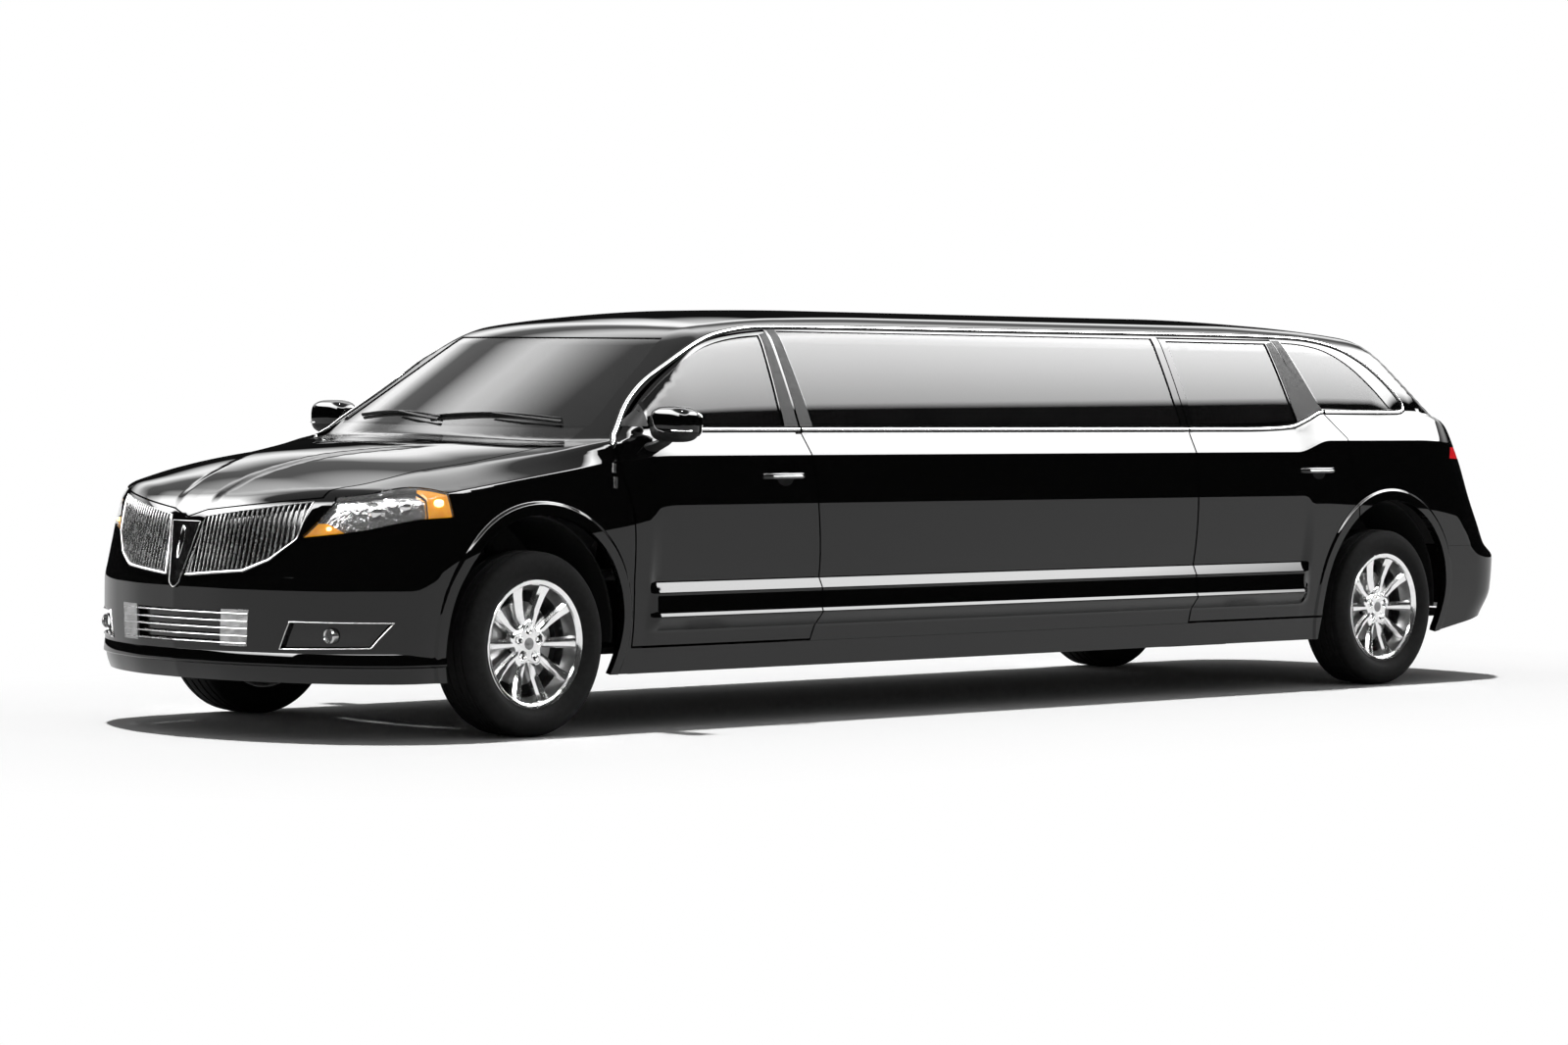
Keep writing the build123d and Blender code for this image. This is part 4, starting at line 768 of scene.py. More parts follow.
LACQUER = finish(
    "bar_lacquer", (0.028, 0.013, 0.008), (0.060, 0.028, 0.014), grain=3.0, stretch=(1, 8, 8),
    rough=(0.12, 0.2), Coat_Weight=0.6, Coat_Roughness=0.05
)
SIDE_GLASS = finish("tinted_glass", 0.006, 0.010, grain=2.0, rough=(0.008, 0.016), Alpha=0.94, IOR=1.28)
FRAME_GLASS = finish("black_backed_glass", 0.004, 0.006, grain=2.0, rough=(0.008, 0.016), IOR=1.28)
SCREEN_GLASS = finish("clear_glass", 0.010, 0.016, grain=2.0, rough=(0.008, 0.016), Alpha=0.88, IOR=1.42)
MIRROR_GLASS = finish("mirror_glass", 0.80, 0.84, grain=8.0, rough=(0.02, 0.04), Metallic=1.0)
LENS = finish("clear_lens", 0.50, 0.56, grain=20.0, rough=(0.02, 0.04), Alpha=0.10, IOR=1.49)
RED_LENS = finish("red_lens", (0.42, 0.006, 0.010), (0.60, 0.014, 0.016), grain=26.0, rough=(0.06, 0.12),
                  bump=(90.0, 0.0008), Emission_Color=(0.9, 0.02, 0.03, 1.0), Emission_Strength=0.35)
AMBER_LENS = finish("amber_lens", (0.90, 0.30, 0.003), (0.95, 0.44, 0.006), grain=40.0, rough=(0.06, 0.12),
                    bump=(110.0, 0.0008), Emission_Color=(1.0, 0.42, 0.0, 1.0), Emission_Strength=0.32)
BULB = finish(
    "lit_bulb", (0.98, 0.80, 0.30), (0.98, 0.88, 0.50), grain=60.0, rough=(0.2, 0.3),
    Emission_Color=(1.0, 0.88, 0.42, 1.0), Emission_Strength=1.5
)
REFLECTOR = finish(
    "lamp_reflector", 0.92, 0.70, grain=70.0, rough=(0.08, 0.2), bump=(70.0, 0.004), Metallic=1.0
)
PACKED = {"tyre": RUBBER}
for look in (
    PAINT, TRIM, CHROME, WHEEL, UNDER, CAST, STEEL, DASH, LEATHER, LACQUER, SIDE_GLASS, SCREEN_GLASS,
    RED_LENS, LENS
):
    PACKED[look.name.split(".")[0]] = look
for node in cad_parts.values():
    for slot in node.material_slots:
        code = slot.material.name.split(".")[0] if slot.material else ""
        slot.material = PACKED.get(code, UNDER)
print("finishes", len(bpy.data.materials))

# %% [markdown]
# ## Outlines of what opens and of the glass
# The doors' shut lines and the glass are drawn once, in side view, and used for the door, for
# the hole it fills and for the glass. The hole is wider than the door by the shut gap.

# %% Outlines in side view
DOOR_FOOT, WINDOW_FOOT = 0.340, BELT + 0.016
FRONT_DOOR = np.array(
    placed(front, (
        (-0.545, DOOR_FOOT), (-0.520, 0.600), (-0.500, 0.900), (-0.440, 1.115), (-0.450, 1.175),
        (-0.605, 1.301), (-0.836, 1.452), (-1.109, 1.577), (-1.345, 1.618), (-1.508, 1.632),
        (-1.525, 1.225), (-1.551, 1.112), (-1.580, 0.885), (-1.606, 0.450), (-1.585, DOOR_FOOT)
    ))
)
REAR_DOOR = np.array(
    placed(rear, (
        (1.450, DOOR_FOOT), (1.450, 1.634), (0.620, 1.634), (0.568, 1.500), (0.500, 1.392),
        (0.468, 1.350), (0.359, 1.228), (0.312, 1.178), (0.278, 0.950), (0.262, 0.865), (0.258, 0.790),
        (0.400, DOOR_FOOT)
    ))
)
FRONT_WINDOW = placed(front, (
    (-0.655, WINDOW_FOOT + 0.004), (-0.668, 1.335), (-0.853, 1.446), (-1.116, 1.562), (-1.345, 1.604),
    (-1.462, 1.613), (-1.430, WINDOW_FOOT)
))
REAR_WINDOW = placed(rear, (
    (1.405, WINDOW_FOOT), (1.405, 1.622), (0.668, 1.620), (0.640, WINDOW_FOOT + 0.02)
))
LOUNGE_WINDOW = (
    (front(-1.612), WINDOW_FOOT), (front(-1.580), 1.632), (rear(1.495), 1.632),
    (rear(1.495), WINDOW_FOOT)
)
QUARTER_WINDOW = placed(rear, (
    (0.545, 1.625), (0.420, 1.317), (-0.120, 1.317), (-0.030, 1.415), (0.085, 1.515), (0.240, 1.590),
    (0.400, 1.618)
))
LAMP = placed(front, (
    (0.905, 0.795), (0.800, 0.955), (0.480, 0.985), (0.452, 0.975), (0.447, 0.880), (0.610, 0.866),
    (0.750, 0.830)
))
GAP = 0.008  # between a door or lid and its hole
SURROUND = placed(front, (
    (-0.42, 1.156), (-0.601, 1.316), (-0.832, 1.469), (-1.109, 1.594), (-1.35, 1.637), (-1.526, 1.650),
    (-3.3, 1.652), (-5.05, 1.655), (-5.356, 1.624), (-5.541, 1.552), (-5.674, 1.455), (-5.772, 1.345),
    (-5.765, 1.299), (-5.60, 1.299), (-5.130, 1.299)
))


def eased(points, spacing=0.02, times=4):
    """An open path with its corners cut away, as evenly spaced points."""
    p = np.asarray(points, float)
    for _ in range(times):
        cut = np.empty((2 * len(p) - 2, p.shape[1]))
        cut[0::2], cut[1::2] = 0.75 * p[:-1] + 0.25 * p[1:], 0.25 * p[:-1] + 0.75 * p[1:]
        p = np.vstack([p[:1], cut, p[-1:]])
    reach = np.r_[0, np.cumsum(np.linalg.norm(np.diff(p, axis=0), axis=1))]
    at = np.linspace(0, reach[-1], max(3, int(reach[-1] / spacing)))
    return np.stack([np.interp(at, reach, p[:, k]) for k in range(p.shape[1])], 1)


def beside(path, by):
    """A ring in side view that runs at a distance along both sides of an open path."""
    ahead = np.gradient(path, axis=0)
    ahead /= np.linalg.norm(ahead, axis=1)[:, None]
    out = by * np.stack([-ahead[:, 1], ahead[:, 0]], 1)
    return cutter_of(np.vstack([path + out, (path - out)[::-1]]))


surround_sides = beside(eased(SURROUND[:12], 0.03), 0.014)


def thin(low, high, start=front(-0.50), stop=rear(0.50)):
    """A long thin ring in side view between two heights, which may be functions of x."""
    x = np.linspace(start, stop, max(2, int((start - stop) / 0.02)))
    low, high = (z(x) if callable(z) else 0 * x + z for z in (low, high))
    return cutter_of(np.vstack([np.stack([x, low], 1), np.stack([x, high], 1)[::-1]]))


def above_belt(low=0.002):
    """Everything over the belt line, which steps up over the rear wheel."""
    return ((front(0.30), BELT + low), (rear(0.70), BELT + low), (rear(0.45), BELT + 0.075 + low),
            (rear(-1.30), BELT + 0.075 + low), (rear(-1.30), 1.90), (front(0.30), 1.90))


def arch(axle, radius=ARCH_RADIUS):
    """A wheel opening, as a closed ring of points."""
    turn = round_turn(96)
    return np.stack([axle + radius * np.cos(turn), ARCH_HEIGHT + radius * np.sin(turn)], 1)


front_door_hole = sharp_cut("side", grown(rounded(FRONT_DOOR), GAP / 2))
rear_door_hole = sharp_cut("side", grown(rounded(REAR_DOOR), GAP / 2))
front_door_edge = sharp_cut("side", grown(rounded(FRONT_DOOR), -GAP / 2))
rear_door_edge = sharp_cut("side", grown(rounded(REAR_DOOR), -GAP / 2))
windows = {
    n: smooth_cut("side", o)
    for n, o in (
        ("front", FRONT_WINDOW), ("rear", REAR_WINDOW), ("lounge", LOUNGE_WINDOW),
        ("quarter", QUARTER_WINDOW)
    )
}
arches = [sharp_cut("side", arch(axle)) for axle in (FRONT_AXLE, REAR_AXLE)]
front_lips, rear_lips = (
    [sharp_cut("side", arch(axle, radius)) for radius in (0.487, 0.502, 0.514, 0.5185, 0.524, 0.530)]
    for axle in (FRONT_AXLE, REAR_AXLE)
)
belt_up = sharp_cut("side", above_belt())
lamp_hole = smooth_cut("side", LAMP)
ledge_lines = [
    thin(a, b)
    for a, b in (
        (0.6070, 0.5985), (0.5595, 0.5530), (0.5460, 0.4820), (0.4740, 0.4620), (0.4540, 0.4430)
    )
]
shoulder_line = thin(
    lambda x: BELT - shoulder_drop(x) + 0.003, lambda x: BELT - shoulder_drop(x) - 0.003, front(0.95),
    rear(-1.15)
)
edge_line = thin(
    lambda x: BELT - edge_drop(x) - 0.012, lambda x: BELT - edge_drop(x) - 0.004, front(0.95),
    front(-0.62)
)
flank_lines = [*ledge_lines, shoulder_line]
print("door outline points", len(front_door_edge["line"]), len(rear_door_edge["line"]))

# %% [markdown]
# ## The doors
# A car door is a deep pressed shell with a window frame on top. Each one here is the piece of
# skin inside its shut line, less the window, with the wall that a whole door has: deep below
# the belt and thin round the glass. Its front edge has two pockets where the hinges sit. One
# door is made and its twin is its mirror image.


# %% Doors and their glass
def door_wall(p):
    """Wall of a door: 78 mm below the belt, 34 mm round the window."""
    return 0.034 + 0.044 * (1 - step(1.16, 1.24, p[:, 2]))


HINGES = (0.650, 0.880)
HINGE_AXIS = {"front": front(-0.566), "rear": rear(1.390)}
HINGE_Y = 0.938


def pockets(hinge_x, back=0.016, half=0.042, shrink=0.003):
    """Side views of the two pockets in a door's front edge, a little smaller than the hinges' room."""
    ends = (hinge_x - back + shrink, hinge_x + 0.15)
    return [sharp_cut("side", oblong(*ends, z - half + shrink, z + half - shrink)) for z in HINGES]


door_area = {
    "front": ((front(-1.66), 0.32), (front(-0.40), 1.66)),
    "rear": ((rear(0.22), 0.32), (rear(1.50), 1.66))
}
door_line = {"front": front_door_edge, "rear": rear_door_edge}
for end in ("front", "rear"):
    sheet = sheet_of_skin(FLANK, door_area[end], [door_line[end]],
                          [windows[end], arches[1]], (0.028, 0.014),
                          seams=[*flank_lines, *(front_lips if end == "front" else rear_lips)])
    wall = door_wall(sheet["p"])
    for dent in pockets(HINGE_AXIS[end]):
        wall = np.where(inside(dent, sheet["p"]), 0.019, wall)
    glass = sheet_of_skin(FLANK, door_area[end], [windows[end]], (), (0.06, 0.02))
    for side, make in SIDES:
        body = f"{end}_door_{side}"
        panel(body + "_skin", body, (PAINT, DASH), make(sheet), wall, nodes=[body])
        panel(f"{end}_window_{side}", body, (SIDE_GLASS, SIDE_GLASS), make(glass), 0.005, 0.006,
              [f"{end}_door_glass_{side}"])

# %% [markdown]
# ## The fixed panels of the flanks
# Between the doors the stretch gives the car one long wall, which a coachbuilder welds in.
# Under everything runs the sill. Both are cut like the doors, with the holes that the doors
# close.

# %% Stretch walls and sills
wall_area = ((rear(1.28), 0.32), (front(-1.44), 1.24))
wall_prism = sharp_cut("side", oblong(front(-1.45), rear(1.29), 0.335, BELT + 0.001))
HINGE_ROOM = 0.0055  # from the rear door's front line to the wall, where the door's corner swings past
swing_room = sharp_cut("side", oblong(rear(1.40), rear(1.450) + HINGE_ROOM, 0.30, 1.30))
skin_panel(
    "stretch_walls_skin", "body", (PAINT, DASH), FLANK, wall_area, [wall_prism],
    [front_door_hole, rear_door_hole, swing_room], (0.05, 0.014), 0.078, node="stretch_walls",
    twin=True, seams=flank_lines
)
sill_area = ((rear(0.45), 0.225), (front(-0.53), 0.336))
sill_prism = sharp_cut("side", oblong(front(-0.545), rear(0.47), SILL, 0.334))
skin_panel(
    "sills_skin", "body", (PAINT, UNDER), FLANK, sill_area, [sill_prism], arches, (0.05, 0.014), 0.078,
    node="sills", twin=True, seams=[*front_lips, *rear_lips]
)

# %% [markdown]
# ## Nose, fenders and hood
# The bumper cover wraps round the nose, so its chart goes round an upright line. The fenders
# run from the flank over the shoulder to the hood, so theirs goes round a line along the car.
# The hood is seen from above.

# %% Hood, cowl, fenders and front bumper
HOOD_PLAN = placed(front, (
    (1.200, 0.600), (0.790, 0.600), (0.700, 0.655), (0.400, 0.700), (-0.230, 0.745), (-0.150, 0.560),
    (-0.080, 0.330), (-0.035, 0.0)
))
HOOD_LIP = ((0.0, 0.862), (0.10, 0.893), (0.60, 0.950))
GRILLE_WING = (
    (0.105, 0.868), (0.575, 0.935), (0.545, 0.790), (0.450, 0.706), (0.350, 0.662), (0.060, 0.637)
)
PROW = ((0.085, 0.846), (0.028, 0.605), (0.006, 0.588))
LOWER_GRILLE = ((0.385, 0.505), (0.375, 0.375))
FOG = ((0.515, 0.363), (0.555, 0.470), (0.868, 0.470), (0.815, 0.372))


def both(points):
    """A half outline and its mirror image as one closed outline."""
    return list(points) + [(-a, b) for a, b in reversed(points)]


def lip_line(grow=0.0):
    """The hood's front edge in front view, and everything above it."""
    low = [(y, z - grow) for y, z in HOOD_LIP]
    return [(-y, z) for y, z in reversed(low[1:])] + low + [
        (0.9, low[-1][1]), (0.9, 1.5), (-0.9, 1.5), (-0.9, low[-1][1])
    ]


hood_plan = np.array([*HOOD_PLAN, *((x, -y) for x, y in reversed(HOOD_PLAN[:-1]))])
hood_edge = sharp_cut("plan", rounded(grown(hood_plan, -GAP / 2), 25))
hood_hole_plan = sharp_cut("plan", rounded(grown(hood_plan, GAP / 2), 25))
over_lip = sharp_cut("nose", lip_line(-0.003), behind=front(0.45))
over_hole_lip = sharp_cut("nose", lip_line(0.003), low=front(0.3), behind=front(0.45))
hood_cut = (hood_hole_plan, over_hole_lip)
fascia = sharp_cut(
    "side",
    placed(front, (
        (0.43, 0.231), (0.43, 0.300), (0.455, 0.300), (0.455, 0.970), (0.480, 0.985), (0.800, 0.955),
        (0.800, 1.250), (1.250, 1.250), (1.250, 0.231)
    ))
)
fender = sharp_cut(
    "side",
    placed(front, (
        (0.90, 0.78), (0.90, 1.30), (-0.60, 1.30), (-0.60, 0.335), (-0.545, 0.335), (-0.545, 0.231),
        (0, 0.231), (0, 0.300), (0.455, 0.300), (0.455, 0.78)
    ))
)
cowl_plan = sharp_cut(
    "plan",
    placed(front, (
        (-0.035, 0), (-0.08, 0.33), (-0.15, 0.56), (-0.23, 0.745), (-0.80, 0.745), (-0.80, -0.745),
        (-0.23, -0.745), (-0.15, -0.56), (-0.08, -0.33)
    ))
)
screen_base = sharp_cut("nose", oblong(-0.93, 0.93, BELT + 0.002, 1.9),
                        low=front(-0.95), high=front(0.30), behind=front(-0.90))
wings = [sharp_cut("nose", [(s * y, z) for y, z in GRILLE_WING], low=front(0.6)) for s in (1, -1)]
prow_cut = sharp_cut("nose", both(PROW), low=front(0.6))
lower_cut = sharp_cut("nose", both(LOWER_GRILLE), low=front(0.6))
fog_cuts = [
    sharp_cut("nose", [(s * y, z) for y, z in FOG], low=front(0.5), behind=front(0.3)) for s in (1, -1)
]

skin_panel(
    "hood_skin", "hood", (PAINT, UNDER), LID, ((front(-0.26), -0.76), (front(1.07), 0.76)),
    [hood_edge, over_lip], (), (0.022, 0.022), 0.030, node="hood"
)
skin_panel(
    "cowl_skin", "body", (GLOSS_BLACK, UNDER), LID, ((front(-0.60), -0.75), (front(0.0), 0.75)),
    [cowl_plan], [hood_hole_plan, screen_base], (0.02, 0.025), 0.020, node="cowl"
)
skin_panel(
    "fender_skins", "body", (PAINT, UNDER), barrel_chart(0.75),
    ((front(-0.61), 0.45), (front(0.91), 1.95)), [fender],
    [fascia, hood_hole_plan, lamp_hole, cowl_plan, front_door_hole, belt_up, arches[0], screen_base],
    (0.022, 0.014), 0.028, node="front_fenders", twin=True,
    seams=[shoulder_line, edge_line, *front_lips]
)
skin_panel(
    "front_bumper_skin", "body", (PAINT, UNDER), NOSE_WRAP, ((-1.35, 0.231), (1.35, 0.99)), [fascia],
    [hood_cut, lamp_hole, *wings, prow_cut, lower_cut, *fog_cuts, arches[0]], (0.02, 0.012), 0.030,
    node="front_bumper", seams=front_lips
)

# %% [markdown]
# ## Roof, tail and glass
# Roof, rails and pillars are one piece of skin with the doors, the windows and both screens
# cut out. The rear quarters wrap round to the tailgate. The screens are cut from the
# greenhouse alone, so that the fillet at the belt doesn't bend their lower edges.

# %% Roof, quarters, rear bumper, tailgate and screens
GATE = ((0.640, 0.660), (0.690, 1.000), (0.700, BELT), (0.615, 1.600))
GATE_WINDOW = ((0.600, BELT + 0.070), (0.540, ROOF - 0.165))
SCREEN = ((0.755, BELT + 0.012), (0.615, ROOF - 0.135))
gate_span = {"low": rear(-1.4), "high": rear(-0.1)}
gate_edge = sharp_cut("tail", grown(both(GATE), -GAP / 2), **gate_span)
gate_hole = sharp_cut("tail", grown(both(GATE), GAP / 2), **gate_span)
gate_window = sharp_cut("tail", both(GATE_WINDOW), **gate_span)
tail_band = sharp_cut("tail", both(((0.69, 1.060), (0.69, 1.130))), **gate_span)
screen_cut = sharp_cut("nose", both(SCREEN), low=front(-1.3), high=front(0.1), behind=front(-1.25))
corner_lamp = sharp_cut(
    "side", placed(rear, ((-0.500, 1.078), (-0.530, 1.132), (-1.15, 1.132), (-1.15, 1.058)))
)
quarter = sharp_cut(
    "side",
    placed(rear, (
        (0.48, 0.335), (0.48, 1.296), (-1.25, 1.296), (-1.25, 0.656), (-0.45, 0.656), (-0.45, 0.335)
    ))
)
tail_fascia = sharp_cut(
    "side",
    placed(rear, ((-0.45, 0.238), (-0.80, 0.300), (-1.25, 0.345), (-1.25, 0.655), (-0.45, 0.655)))
)

skin_panel(
    "roof_skin", "body", (PAINT, DASH), barrel_chart(1.0), ((rear(-1.0), -1.30), (front(-0.05), 1.30)),
    [belt_up],
    [front_door_hole, rear_door_hole, windows["lounge"], windows["quarter"], screen_cut, gate_hole],
    (0.035, 0.018), 0.034, node="roof_and_pillars", seams=[screen_base, surround_sides]
)
skin_panel(
    "rear_quarter_skins", "body", (PAINT, UNDER), barrel_chart(0.85),
    ((rear(-1.21), 0.4), (rear(0.49), 2.0)), [quarter],
    [rear_door_hole, belt_up, gate_hole, corner_lamp, arches[1]], (0.018, 0.016), 0.040,
    node="rear_quarters", twin=True, seams=[shoulder_line, *rear_lips]
)
skin_panel(
    "rear_bumper_skin", "body", (PAINT, UNDER), wrap_chart(rear(-0.3), -1),
    ((-1.65, 0.23), (1.65, 0.66)), [tail_fascia], [arches[1]], (0.025, 0.012), 0.035,
    node="rear_bumper", seams=rear_lips
)
skin_panel(
    "tailgate_skin", "tailgate", (PAINT, DASH), TAIL_END, ((-0.72, 0.65), (0.72, 1.62)), [gate_edge],
    [gate_window, tail_band], (0.025, 0.018), 0.045, node="tailgate"
)
skin_panel(
    "tail_light_bar", "tailgate", (RED_LENS, RED_LENS), TAIL_END, ((-0.70, 1.04), (0.70, 1.15)),
    [gate_edge, tail_band], (), (0.03, 0.012), 0.030, 0.001, node="tail_lamps"
)
skin_panel(
    "corner_light_lenses", "body", (RED_LENS, RED_LENS), barrel_chart(0.85),
    ((rear(-1.21), 0.4), (rear(-0.45), 1.3)), [corner_lamp], [gate_hole], (0.012, 0.010), 0.030, 0.001,
    node="corner_lamps", twin=True
)
skin_panel(
    "windscreen_glass", "body", (SCREEN_GLASS, SCREEN_GLASS), end_chart(1, front(-1.25)),
    ((-0.77, 1.225), (0.77, 1.60)), [screen_cut], (), (0.035, 0.018), 0.005, 0.004, node="windscreen",
    field=greenhouse
)
skin_panel(
    "tailgate_window", "tailgate", (SIDE_GLASS, SIDE_GLASS), TAIL_END, ((-0.61, 1.28), (0.61, 1.58)),
    [gate_window], (), (0.035, 0.02), 0.005, 0.004, node="tailgate_glass", field=greenhouse
)
lounge_glass = sheet_of_skin(
    FLANK, ((rear(1.48), 1.225), (front(-1.57), 1.64)), [windows["lounge"]], (), (0.08, 0.02)
)
quarter_glass = sheet_of_skin(
    FLANK, ((rear(-0.15), 1.30), (rear(0.56), 1.64)), [windows["quarter"]], (), (0.04, 0.02)
)
panel("fixed_side_glass", "body", (SIDE_GLASS, SIDE_GLASS),
      joined(paired(lounge_glass), paired(quarter_glass)), 0.005, 0.004, ["side_windows"])

# %% [markdown]
# ## Closed solids from rings of points
# Trim, bars, spokes and turned parts all come from one idea: a closed profile is carried along
# a path, and the rings it leaves are joined by walls. Turned parts are the same with a circle
# as the path. The sign of the volume says which way the faces have to point.


# %% Rings, paths and profiles
def closed(rings, loop=False):
    """Walls between rings of points, and a fan over each end unless the path is a loop."""
    n, m = rings.shape[:2]
    verts = rings.reshape(-1, 3)
    i, j = np.meshgrid(np.arange(n if loop else n - 1), np.arange(m), indexing="ij")
    k, l = (i + 1) % n, (j + 1) % m
    walls = np.stack([i * m + j, k * m + j, k * m + l, i * m + l], -1).reshape(-1, 4)
    tri = np.vstack([walls[:, (0, 1, 2)], walls[:, (0, 2, 3)]])
    if not loop:
        verts = np.vstack([verts, rings[[0, -1]].mean(1)])
        j, l = np.arange(m), (np.arange(m) + 1) % m
        top = n * m + 0 * j
        tri = np.vstack([
            tri, np.stack([top, l, j], 1), np.stack([top + 1, (n - 1) * m + j, (n - 1) * m + l], 1)
        ])
    centred = verts - verts.mean(0)
    volume = np.sum(centred[tri[:, 0]] * np.cross(centred[tri[:, 1]], centred[tri[:, 2]]))
    return {"p": verts, "n": verts * 0, "tri": tri[:, ::-1] if volume < 0 else tri}


def solid(name, body, material, parts, nodes=(), slot=None, angle=32):
    """Closed parts as one piece, smooth wherever two faces meet at less than the angle."""
    whole = joined(*parts)
    mesh = bpy.data.meshes.new(name)
    mesh.from_pydata(whole["p"].tolist(), [], whole["tri"].tolist())
    mesh.shade_smooth()
    mesh.set_sharp_from_angle(angle=math.radians(angle))
    print(f"{name}: {len(whole['tri'])} triangles")
    return place(name, body, [material], mesh, nodes, slot)


def twice(parts):
    """The parts and their mirror images on the other side."""
    return [*parts, *[mirrored(part) for part in parts]]


def swept(path, shape, normal, loop=False, scale=1.0):
    """A profile carried along a path.

    The profile's first number runs across the path, its second along the given normal, both
    square to the path's own direction."""
    path = np.asarray(path, float)
    ahead = np.roll(path, -1, 0) - np.roll(path, 1, 0) if loop else np.gradient(path, axis=0)
    ahead = ahead / np.maximum(np.linalg.norm(ahead, axis=1), 1e-9)[:, None]
    up = np.broadcast_to(np.asarray(normal, float), path.shape)
    up = up - np.sum(up * ahead, 1)[:, None] * ahead
    up = up / np.linalg.norm(up, axis=1)[:, None]
    across = np.cross(ahead, up)
    shape = np.asarray(shape, float)
    scale = np.broadcast_to(scale, len(path))[:, None, None]
    rings = path[:, None] + scale * (shape[None, :, :1] * across[:, None] + shape[None, :, 1:] * up[:, None])
    return closed(rings, loop)


def dome(width, height, sink=0.002, count=9):
    """A half-ellipse profile that stands on a surface and reaches a little into it."""
    turn = np.linspace(0, math.pi, count)
    top = np.stack([-width / 2 * np.cos(turn), height * np.sin(turn)], 1)
    return np.vstack([top, [(width / 2, -sink), (-width / 2, -sink)]])


def bent(value, power):
    """A sine or cosine raised to a power, with its sign kept."""
    return np.sign(value) * np.abs(value) ** power


def rounded_box(centre, half, power, low=-1.0, high=1.0, count=33):
    """Rings of a superellipsoid between two levels of its own height, each from -1 to 1."""
    level = np.linspace(math.asin(low), math.asin(high), count)[:, None]
    turn = round_turn(48)[None]
    around, rise = bent(np.cos(level), power), bent(np.sin(level), power)
    ring = np.stack(
        [around * bent(np.cos(turn), power), around * bent(np.sin(turn), power), rise + 0 * turn], -1
    )
    return np.asarray(centre) + ring * np.asarray(half)


def disc(radius, count=24):
    """A round profile."""
    turn = round_turn(count)
    return np.stack([radius * np.cos(turn), radius * np.sin(turn)], 1)


POLE = 0.0005  # how near a turned solid comes to its axis


def turned(profile, centre, axis="y", turns=96):
    """A closed profile of (along the axis, radius), turned round an axis through the centre."""
    profile = np.asarray(profile, float)
    turn = round_turn(turns)[:, None]
    along, radius = profile[None, :, 0] + 0 * turn, profile[None, :, 1] + 0 * turn
    a, b = radius * np.cos(turn), radius * np.sin(turn)
    rings = {"y": (a, along, b), "x": (along, a, b), "z": (a, b, along)}[axis]
    return closed(np.stack(rings, -1) + np.asarray(centre, float), loop=True)


def on_flank(line):
    """Points (x, z) shot out sideways to the left skin: the points and the skin's normals."""
    x, z = np.asarray(line, float).T
    p, good = shoot(*FLANK["lift"](x, z), 1.08)
    return p[good], outward(p[good])


def on_end(line, way=1, behind=None, field=skin):
    """Points (y, z) shot forward or back to the skin: the points and the normals."""
    y, z = np.asarray(line, float).T
    behind = BEHIND["nose" if way > 0 else "tail"] if behind is None else behind
    p, good = shoot(*end_chart(way, behind)["lift"](y, z), 1.3, field)
    return p[good], outward(p[good], field)


def trim(line, width, height):
    """A domed strip that follows the flank along a line."""
    p, n = on_flank(line)
    return swept(p, dome(width, height, 0.003), n)


# %% [markdown]
# ## Bright trim along the glass
# A polished strip frames the side glass. Over the doors it belongs to the roof, just above
# their shut lines; along the belt each door carries its own length, so it swings with it.

# %% Window surround and belt strips
STRIP, BELT_STRIP, SEAL_EDGE = 0.017, 0.014, 0.006
roof_line = eased(SURROUND, 0.03)
wall_line = eased([(front(-1.536), BELT), (rear(1.456), BELT)], 0.05)
solid(
    "bright_surround", "body", CHROME,
    twice([trim(roof_line, STRIP, 0.0075), trim(wall_line, BELT_STRIP, 0.006)])
)
solid(
    "surround_seals", "body", RUBBER,
    twice([
        trim(roof_line, STRIP + 2 * SEAL_EDGE, 0.0048),
        trim(wall_line, BELT_STRIP + 2 * SEAL_EDGE, 0.0035)
    ]), slot="black_trim"
)
BELT_LINES = {
    "front": eased([(front(-0.66), BELT), (front(-1.520), BELT)], 0.03),
    "rear": eased(
        placed(rear, (
            (1.444, BELT), (0.72, BELT), (0.58, BELT + 0.035), (0.45, 1.299), (0.425, 1.299)
        )), 0.03
    ),
}
for end, line in BELT_LINES.items():
    strip, seal = trim(line, BELT_STRIP, 0.006), trim(line, BELT_STRIP + 2 * SEAL_EDGE, 0.0035)
    for side, make in SIDES:
        door = f"{end}_door_{side}"
        solid(f"belt_strip_{end}_{side}", door, CHROME, [make(strip)])
        solid(f"belt_seal_{end}_{side}", door, RUBBER, [make(seal)], slot="black_trim")

# %% [markdown]
# ## Dark covers on the pillars
# The pillars between the windows are covered in dark trim, and two narrow ones in black-backed
# glass, so that the lounge's glass and the rear door's read as one long pane. Each cover lies
# on the piece that it moves with.

